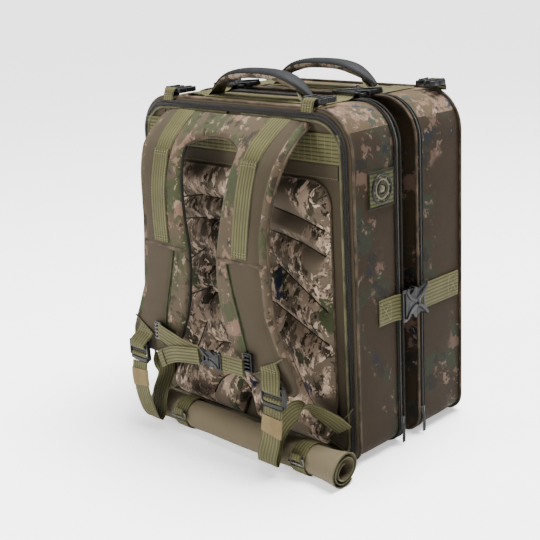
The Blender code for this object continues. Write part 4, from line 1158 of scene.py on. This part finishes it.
for tag, y in (("back", 0.001), ("front", 0.146)):
    module = tag + "_module"
    foot = TOP + 0.0018 + 0.0004 + 0.0055
    uu = np.sin(np.linspace(-math.pi / 2, math.pi / 2, 90))
    arc = xyz(0.103 * uu, np.full(90, y), foot + 0.030 * (1 - np.abs(uu) ** 2.8))
    t, s, n = directions(arc, (0, 1, 0))
    q = np.clip((np.abs(uu) - 0.60) / 0.40, 0, 1)[:, None]
    a = np.linspace(0, 2 * math.pi, 33)[None]
    wide, deep = 0.0158 - 0.0113 * q ** 1.4, 0.0078 - 0.0038 * q
    wide = wide * (1 + 0.02 * ripple(uu[:, None] * 0.1, a * 0.004, 31, 0.03))
    ca, sa = np.cos(a), np.sin(a)
    P = (arc[:, None] + (wide * np.sign(ca) * np.abs(ca) ** 0.8)[..., None] * s[:, None]
         - (deep * np.sign(sa) * np.abs(sa) ** 0.9)[..., None] * n[:, None])
    UV = xyz(0.103 * uu[:, None], a * 0.012)
    mid = P[45, :, 2]
    upper = (P[45, :-1, 2] + P[45, 1:, 2]) / 2 > mid.mean() + 0.0012
    parts = [(P, UV, np.broadcast_to(np.where(upper, 0, 1), (89, 32)))]
    for k in (0, -1):
        parts.append((np.stack([P[k], np.broadcast_to(arc[k], P[k].shape)]), np.stack([UV[k], UV[k]]), 1))
    grip = put("padded_grip_" + tag, parts, [NEOPRENE, HANDLE_CLOTH], "handle_" + tag,
               replace=("handle_" + tag,))
    seams = np.flatnonzero(np.diff(upper.astype(int)) != 0) + 1
    for j, name in zip(seams[:2], ("near", "far")):
        put("grip_seam_%s_%s" % (tag, name), pipe(P[2:-2, j], 0.0009, 6), DARK_BIND, "handle_" + tag)
    for sx, side_tag in ((-1, "left"), (1, "right")):
        lug = smooth_path([(sx * 0.1050, y, TOP + 0.0036), (sx * 0.101, y, TOP + 0.0056),
                           (sx * 0.095, y, TOP + 0.0120),
                           (sx * 0.0875, y, TOP + 0.0190)], 0.002)
        w = np.linspace(0.036, 0.022, len(lug))
        put("grip_lug_%s_%s" % (tag, side_tag), tape(lug, w, 0.0016 * -sx, side=(0, 1, 0), lift=-0.0048 * -sx,
            edge_r=-0.4 * sx), WEB_38, "handle_" + tag)
    line = xyz(np.linspace(-0.105, 0.105, 60), np.full(60, y), np.full(60, TOP + 0.0002))
    put("handle_base_webbing_" + tag, tape(line, 0.038, 0.0018, side=(0, 1, 0)), WEB_38, module,
        replace=("handle_webbing_" + tag,))
    z = TOP + 0.0024
    for x0, x1, side_tag in ((-0.100, -0.072, "left"), (0.072, 0.100, "right")):
        box_stitch("handle_box_stitch_%s_%s" % (tag, side_tag), (x0, y - 0.016, z), (x1, y - 0.016, z),
                   (x1, y + 0.016, z), (x0, y + 0.016, z), module)
    thread("handle_edge_stitches_" + tag, [[(-0.07, y + k, z), (0.07, y + k, z)] for k in (-0.0165, 0.0165)],
           module)

# ---- Bridging straps and side-release buckles --------------------------------------------------
# Four webbing bridges hold the two modules together, one over each shoulder and one on each flank,
# each closed with a 38 mm side-release buckle.


def bridge(kind, tag, place, side):
    """Webbing on both modules and the buckle between: place(y, c, h) gives points on that surface."""
    ya = 0.0730 - 0.031
    at = lambda a, c, h: place(ya + a, c, h)
    side_release("front_module", at, 0.050, "%s_buckle_socket_%s" % (kind, tag),
                 "%s_buckle_prongs_%s" % (kind, tag),
                 ("%s_female_%s" % (kind, tag),), ("%s_male_%s" % (kind, tag),))
    y0, y1 = (-0.018, 0.185) if kind == "top" else (-0.001, 0.192)
    for name, module, pts in (
            ("back", "back_module", [(y0, 0.0004), (ya - 0.016, 0.0006), (ya - 0.006, 0.0016),
                                     (ya + 0.0005, 0.0042),
                                     (ya + 0.0052, 0.0078)]),
            ("front", "front_module", [(y1, 0.0004), (ya + 0.070, 0.0006), (ya + 0.060, 0.0010),
                                       (ya + 0.0530, 0.0022),
                                       (ya + 0.0492, 0.0085)])):
        q = smooth_path([(y, h, 0) for y, h in pts], 0.002)
        line = place(q[:, 0], 0 * q[:, 0], q[:, 1])
        way = side if name == "back" else [-v for v in side]
        put("%s_bridge_%s_%s" % (kind, name, tag), tape(line, 0.038 if name == "back" else np.interp(
            q[:, 0], [ya + 0.049, ya + 0.064], [0.026, 0.038]), 0.0018, side=way), WEB_38, module,
            replace=("%s_strap_%s_%s" % (kind, name, tag),))
        e0, e1 = (y0 + 0.003, y0 + 0.026) if name == "back" else (y1 - 0.026, y1 - 0.003)
        corner = lambda y, c: place(np.array([y]), np.array([c]), np.array([0.0026]))[0]
        box_stitch("%s_bridge_stitches_%s_%s" % (kind, name, tag), corner(e0, -0.0155), corner(e1, -0.0155),
                   corner(e1, 0.0155), corner(e0, 0.0155), module)


for sx, tag in ((1, "right"), (-1, "left")):
    bridge("top", tag, lambda y, c, h, sx=sx: xyz(sx * 0.128 + c, y, TOP + 0.0004 + h), (-1, 0, 0))
    bridge("side", tag, lambda y, c, h, sx=sx: xyz(sx * (0.2204 + h) + 0 * y, y, 0.224 + c), (0, 0, sx))

# ---- Accessory buckles -------------------------------------------------------------------------
# Four small buckle halves on the top, each hung on a folded tab of narrow webbing.
for tag, x, y, d, k in (("back_right", 0.148, -0.047, 1, 1.35), ("back_left", -0.148, -0.047, 1, 1.35),
                        ("front_right", 0.178, 0.1995, -1, 1.25), ("front_left", -0.178, 0.1995, -1, 1.25)):
    body = "accessory_buckle_" + tag
    z = TOP + 0.0004 + 0.0075
    at = lambda a, c, h, x=x, y=y, d=d, k=k, z=z: xyz(x + a * k, y + d * c * k, z - 0.003 + h * 1.7)
    slot_hole = box_outline(-0.0105, 0.0105, 0.0030, 0.0064, 0.0008)
    half = [(0.0135, -0.0008), (0.0140, 0.0095), (0.0120, 0.0110), (0.0128, 0.0160), (0.0138, 0.0215),
            (0.0112, 0.0268),
            (0.0088, 0.0262), (0.0085, 0.0170), (0.0064, 0.0120), (0.0026, 0.0118), (0.0020, 0.0235),
            (0.0, 0.0240)]
    comb = half + [(-a, c) for a, c in half[-2::-1]]
    ridges = [(arm([(s * 0.0125, 0.0012), (s * 0.0100, 0.0085), (s * 0.0106, 0.0200)], 0.0026), [], 0.0046,
               0.0066, 0.0008)
              for s in (1, -1)]
    moulding("small_prongs_" + tag, [(soften(comb, 0.0012), [slot_hole], 0.0008, 0.0054, 0.0009)] + ridges
             + [(arm([(-0.0120, 0.0088), (0.0120, 0.0088)], 0.0026), [], 0.0046, 0.0062, 0.0007)], at,
             PLASTIC, body,
             replace=(body,))
    pts = [(-0.0084, -0.0112), (-0.0078, -0.0086), (-0.0050, -0.0070), (-0.001, -0.0055), (0.0038, -0.0030),
           (0.0058, 0.0004), (0.0040, 0.0048), (-0.001, 0.0062), (-0.0060, 0.0034), (-0.0086, -0.0030),
           (-0.0098, -0.0080), (-0.0099, -0.0112)]
    q = smooth_path([(p, h, 0) for p, h in pts], 0.0012)
    line = xyz(np.full(len(q), x), y + d * q[:, 0], z + q[:, 1])
    module = "back_module" if tag.startswith("back") else "front_module"
    tab = put("buckle_tab_" + tag, tape(line, 0.0215, 0.0017, side=(d, 0, 0), lift=-0.0006), WEB_25, None)
    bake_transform(tab)
    rows = [[(x - 0.009, y + d * p, z + h), (x + 0.009, y + d * p, z + h)] for p,
            h in ((-0.0094, -0.0012), (-0.0106, -0.0044))]
    thread("buckle_tab_stitches_" + tag, rows, module, pitch=0.0030, length=0.0022)

# ---- Side patch --------------------------------------------------------------------------------
# Square of ribbed webbing cloth sewn to the back module's side, with a moulded rubber badge: plain
# rings and round bosses, and no lettering.
PATCH = webbing_cloth("patch_ribbed_cloth", 0.057, 9, "#3d3d25", "#1b1b0f")
RUBBER = moulded("soft_pvc_badge", "#0e0e0c", 0.55)
BRASS_RUBBER = moulded("olive_pvc_badge_face", "#4c4735", 0.5)
lo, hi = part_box("side_patch")
y = np.linspace(lo[1], hi[1], 30)
mid = (np.array(lo) + np.array(hi)) / 2
line = xyz(np.full(30, lo[0]), y, np.full(30, mid[2]))
put("side_patch_cloth", tape(line, hi[2] - lo[2], 0.0018, side=(0, 0, 1)), PATCH, "back_module",
    replace=("side_patch",))
x = hi[0] + 0.0001
frame_line = soften([(lo[1] + 0.001, lo[2] + 0.001), (hi[1] - 0.001, lo[2] + 0.001),
                     (hi[1] - 0.001, hi[2] - 0.001),
                     (lo[1] + 0.001, hi[2] - 0.001)], 0.002)
put("side_patch_border", pipe(np.hstack([np.full((len(frame_line), 1), x), frame_line]), 0.0010, 6,
                              closed=True),
    DARK_BIND, "back_module")
ring = np.linspace(0, 2 * math.pi, 49)[:-1]
on_patch = lambda r, h: xyz(np.full(48, x + h), mid[1] + r * np.cos(ring), mid[2] + r * np.sin(ring))
for name, r, thick, mat in (("outer", 0.0200, 0.0021, RUBBER), ("middle", 0.0138, 0.0015, BRASS_RUBBER),
                            ("inner", 0.0086, 0.0012, RUBBER)):
    put("badge_ring_" + name, pipe(on_patch(r, 0.0002), thick, 10, closed=True), mat, "back_module")
a, r = np.linspace(0, 2 * math.pi, 33)[:, None], np.linspace(0, 1, 7)[None]
bosses = []
for cy, cz, size in [(0, 0, 0.0052)] + [(0.0172 * math.cos(k), 0.0172 * math.sin(k), 0.0019)
                                        for k in np.linspace(0, 2 * math.pi, 9)[:-1] + 0.2]:
    P = xyz(x + 0.0003 + 0.45 * size * np.sqrt(1 - r ** 2) + 0 * a, mid[1] + cy + size * r * np.cos(a),
                  mid[2] + cz + size * r * np.sin(a))
    low = P[:, -1:] * [1, 1, 1]
    base = np.concatenate([low, np.broadcast_to([x - 0.0004, mid[1] + cy, mid[2] + cz], low.shape)], 1)
    bosses += [(P, P[..., 1:], 0), (base, base[..., 1:], 0)]
put("badge_bosses", bosses, BRASS_RUBBER, "back_module")

# ---- Zip sliders and pulls ---------------------------------------------------------------------
# Die-cast sliders in black paint, with short pulls of folded black tape.
PAINTED = moulded("painted_zinc_slider", "#121314", 0.38)
PULL = webbing_cloth("black_pull_tape", 0.006, 3, "#1f2021", "#0b0b0b")
for tag, y in (("back", 0.0475), ("front", 0.0985)):
    x0 = 0.2204
    at = lambda a, c, h, y=y, x0=x0: xyz(x0 + h, y + a, 0.040 + c)
    body_shape = soften([(-0.0046, 0.006), (-0.0030, 0.0068), (0.0030, 0.0068), (0.0046, 0.006),
                         (0.0034, -0.006),
                         (-0.0034, -0.006)], 0.0015)
    moulding("zip_slider_body_" + tag, [(body_shape, [], 0.0004, 0.0032, 0.0008),
                                        (arm([(0, -0.0050), (0, 0.0050)], 0.0026), [], 0.0028, 0.0046,
                                         0.0006)],
             at, PAINTED, "zip_slider_" + tag, replace=("zip_slider_" + tag,))
    line = smooth_path([(x0 + 0.0043, y, 0.0345), (x0 + 0.0046, y, 0.0250), (x0 + 0.0044, y, 0.0050)], 0.002)
    put("zip_pull_tape_" + tag, tape(line, 0.0062, 0.0016, side=(0, 1, 0), lift=-0.0006), PULL,
        "zip_pull_" + tag,
        replace=("zip_pull_" + tag,))
lo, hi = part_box("lid_slider")
at = lambda a, c, h, lo=lo, hi=hi: xyz(hi[0] - h, (lo[1] + hi[1]) / 2 + a * 0.7, (lo[2] + hi[2]) / 2 + c)
moulding("lid_slider_body", [(body_shape, [], 0.0002, 0.0030, 0.0007),
                             (arm([(0, -0.0050), (0, 0.0050)], 0.0026), [], 0.0026, 0.0044, 0.0006)], at,
         PAINTED,
         "lid_slider", replace=("lid_slider",))

# ---- Gap faces and base ------------------------------------------------------------------------
# Where the modules meet, each open face has a bound edge, and the front module the olive binding and zip of a
# pocket. Both modules stand on black rubber-coated sheet with a welt round it.
inner_line = lambda y, inset: xyz(edge[:-1, 0] * (0.22 - inset) / 0.22, np.full(len(edge) - 1, y),
                                        0.262 + (edge[:-1, 1] - 0.262) * (0.259 - inset * 1.5) / 0.259)
put("gap_pocket_binding", pipe(inner_line(FRONT_Y0 - 0.0068, 0.030), 0.0022, 8, closed=True), OLIVE_BIND,
    "front_module")
put("gap_pocket_zip", pipe(inner_line(FRONT_Y0 - 0.0060, 0.036), 0.0018, 8, closed=True), ZIP, "front_module")


def coated_sheet():
    """Rubber-coated base cloth: black with a fine pebble and dusty scuffs."""
    mat, tree, shader = surface("rubber_coated_base_cloth", 0.6)
    place = node(tree, "TexCoord", out="Object")
    cells = node(tree, "TexVoronoi", {"Vector": place}, Scale=420.0)
    dust = node(tree, "TexNoise", {"Vector": place}, Scale=18.0, Detail=6.0)
    level = node(tree, "MapRange", {"Value": dust}, _1=0.45, _2=0.75)
    mix = node(tree, "Mix", {"Factor": level}, out=2, data_type="RGBA", _6=srgb("#0c0c0d"),
               _7=srgb("#282725"))
    tree.links.new(mix, shader.inputs["Base Color"])
    bump = node(tree, "Bump", {"Height": cells}, Strength=0.5, Distance=0.0006)
    tree.links.new(bump, shader.inputs["Normal"])
    return mat


BASE_CLOTH = coated_sheet()
for tag in ("back", "front"):
    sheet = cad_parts[tag + "_base"]
    sheet.data.materials.clear()
    sheet.data.materials.append(BASE_CLOTH)
    lo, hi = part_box(tag + "_base")
    welt = soften([(lo[0] + 0.002, lo[1] + 0.002), (hi[0] - 0.002, lo[1] + 0.002),
                   (hi[0] - 0.002, hi[1] - 0.002),
                   (lo[0] + 0.002, hi[1] - 0.002)], 0.02)
    welt = np.vstack([welt, welt[:1]])
    s = travelled(welt)
    t = np.linspace(0, s[-1], 161)[:-1]
    ring = xyz(np.interp(t, s, welt[:, 0]), np.interp(t, s, welt[:, 1]), np.full(160, lo[2] + 0.0021))
    put(tag + "_base_welt", pipe(ring, 0.0020, 8, closed=True), BASE_CLOTH, tag + "_module")
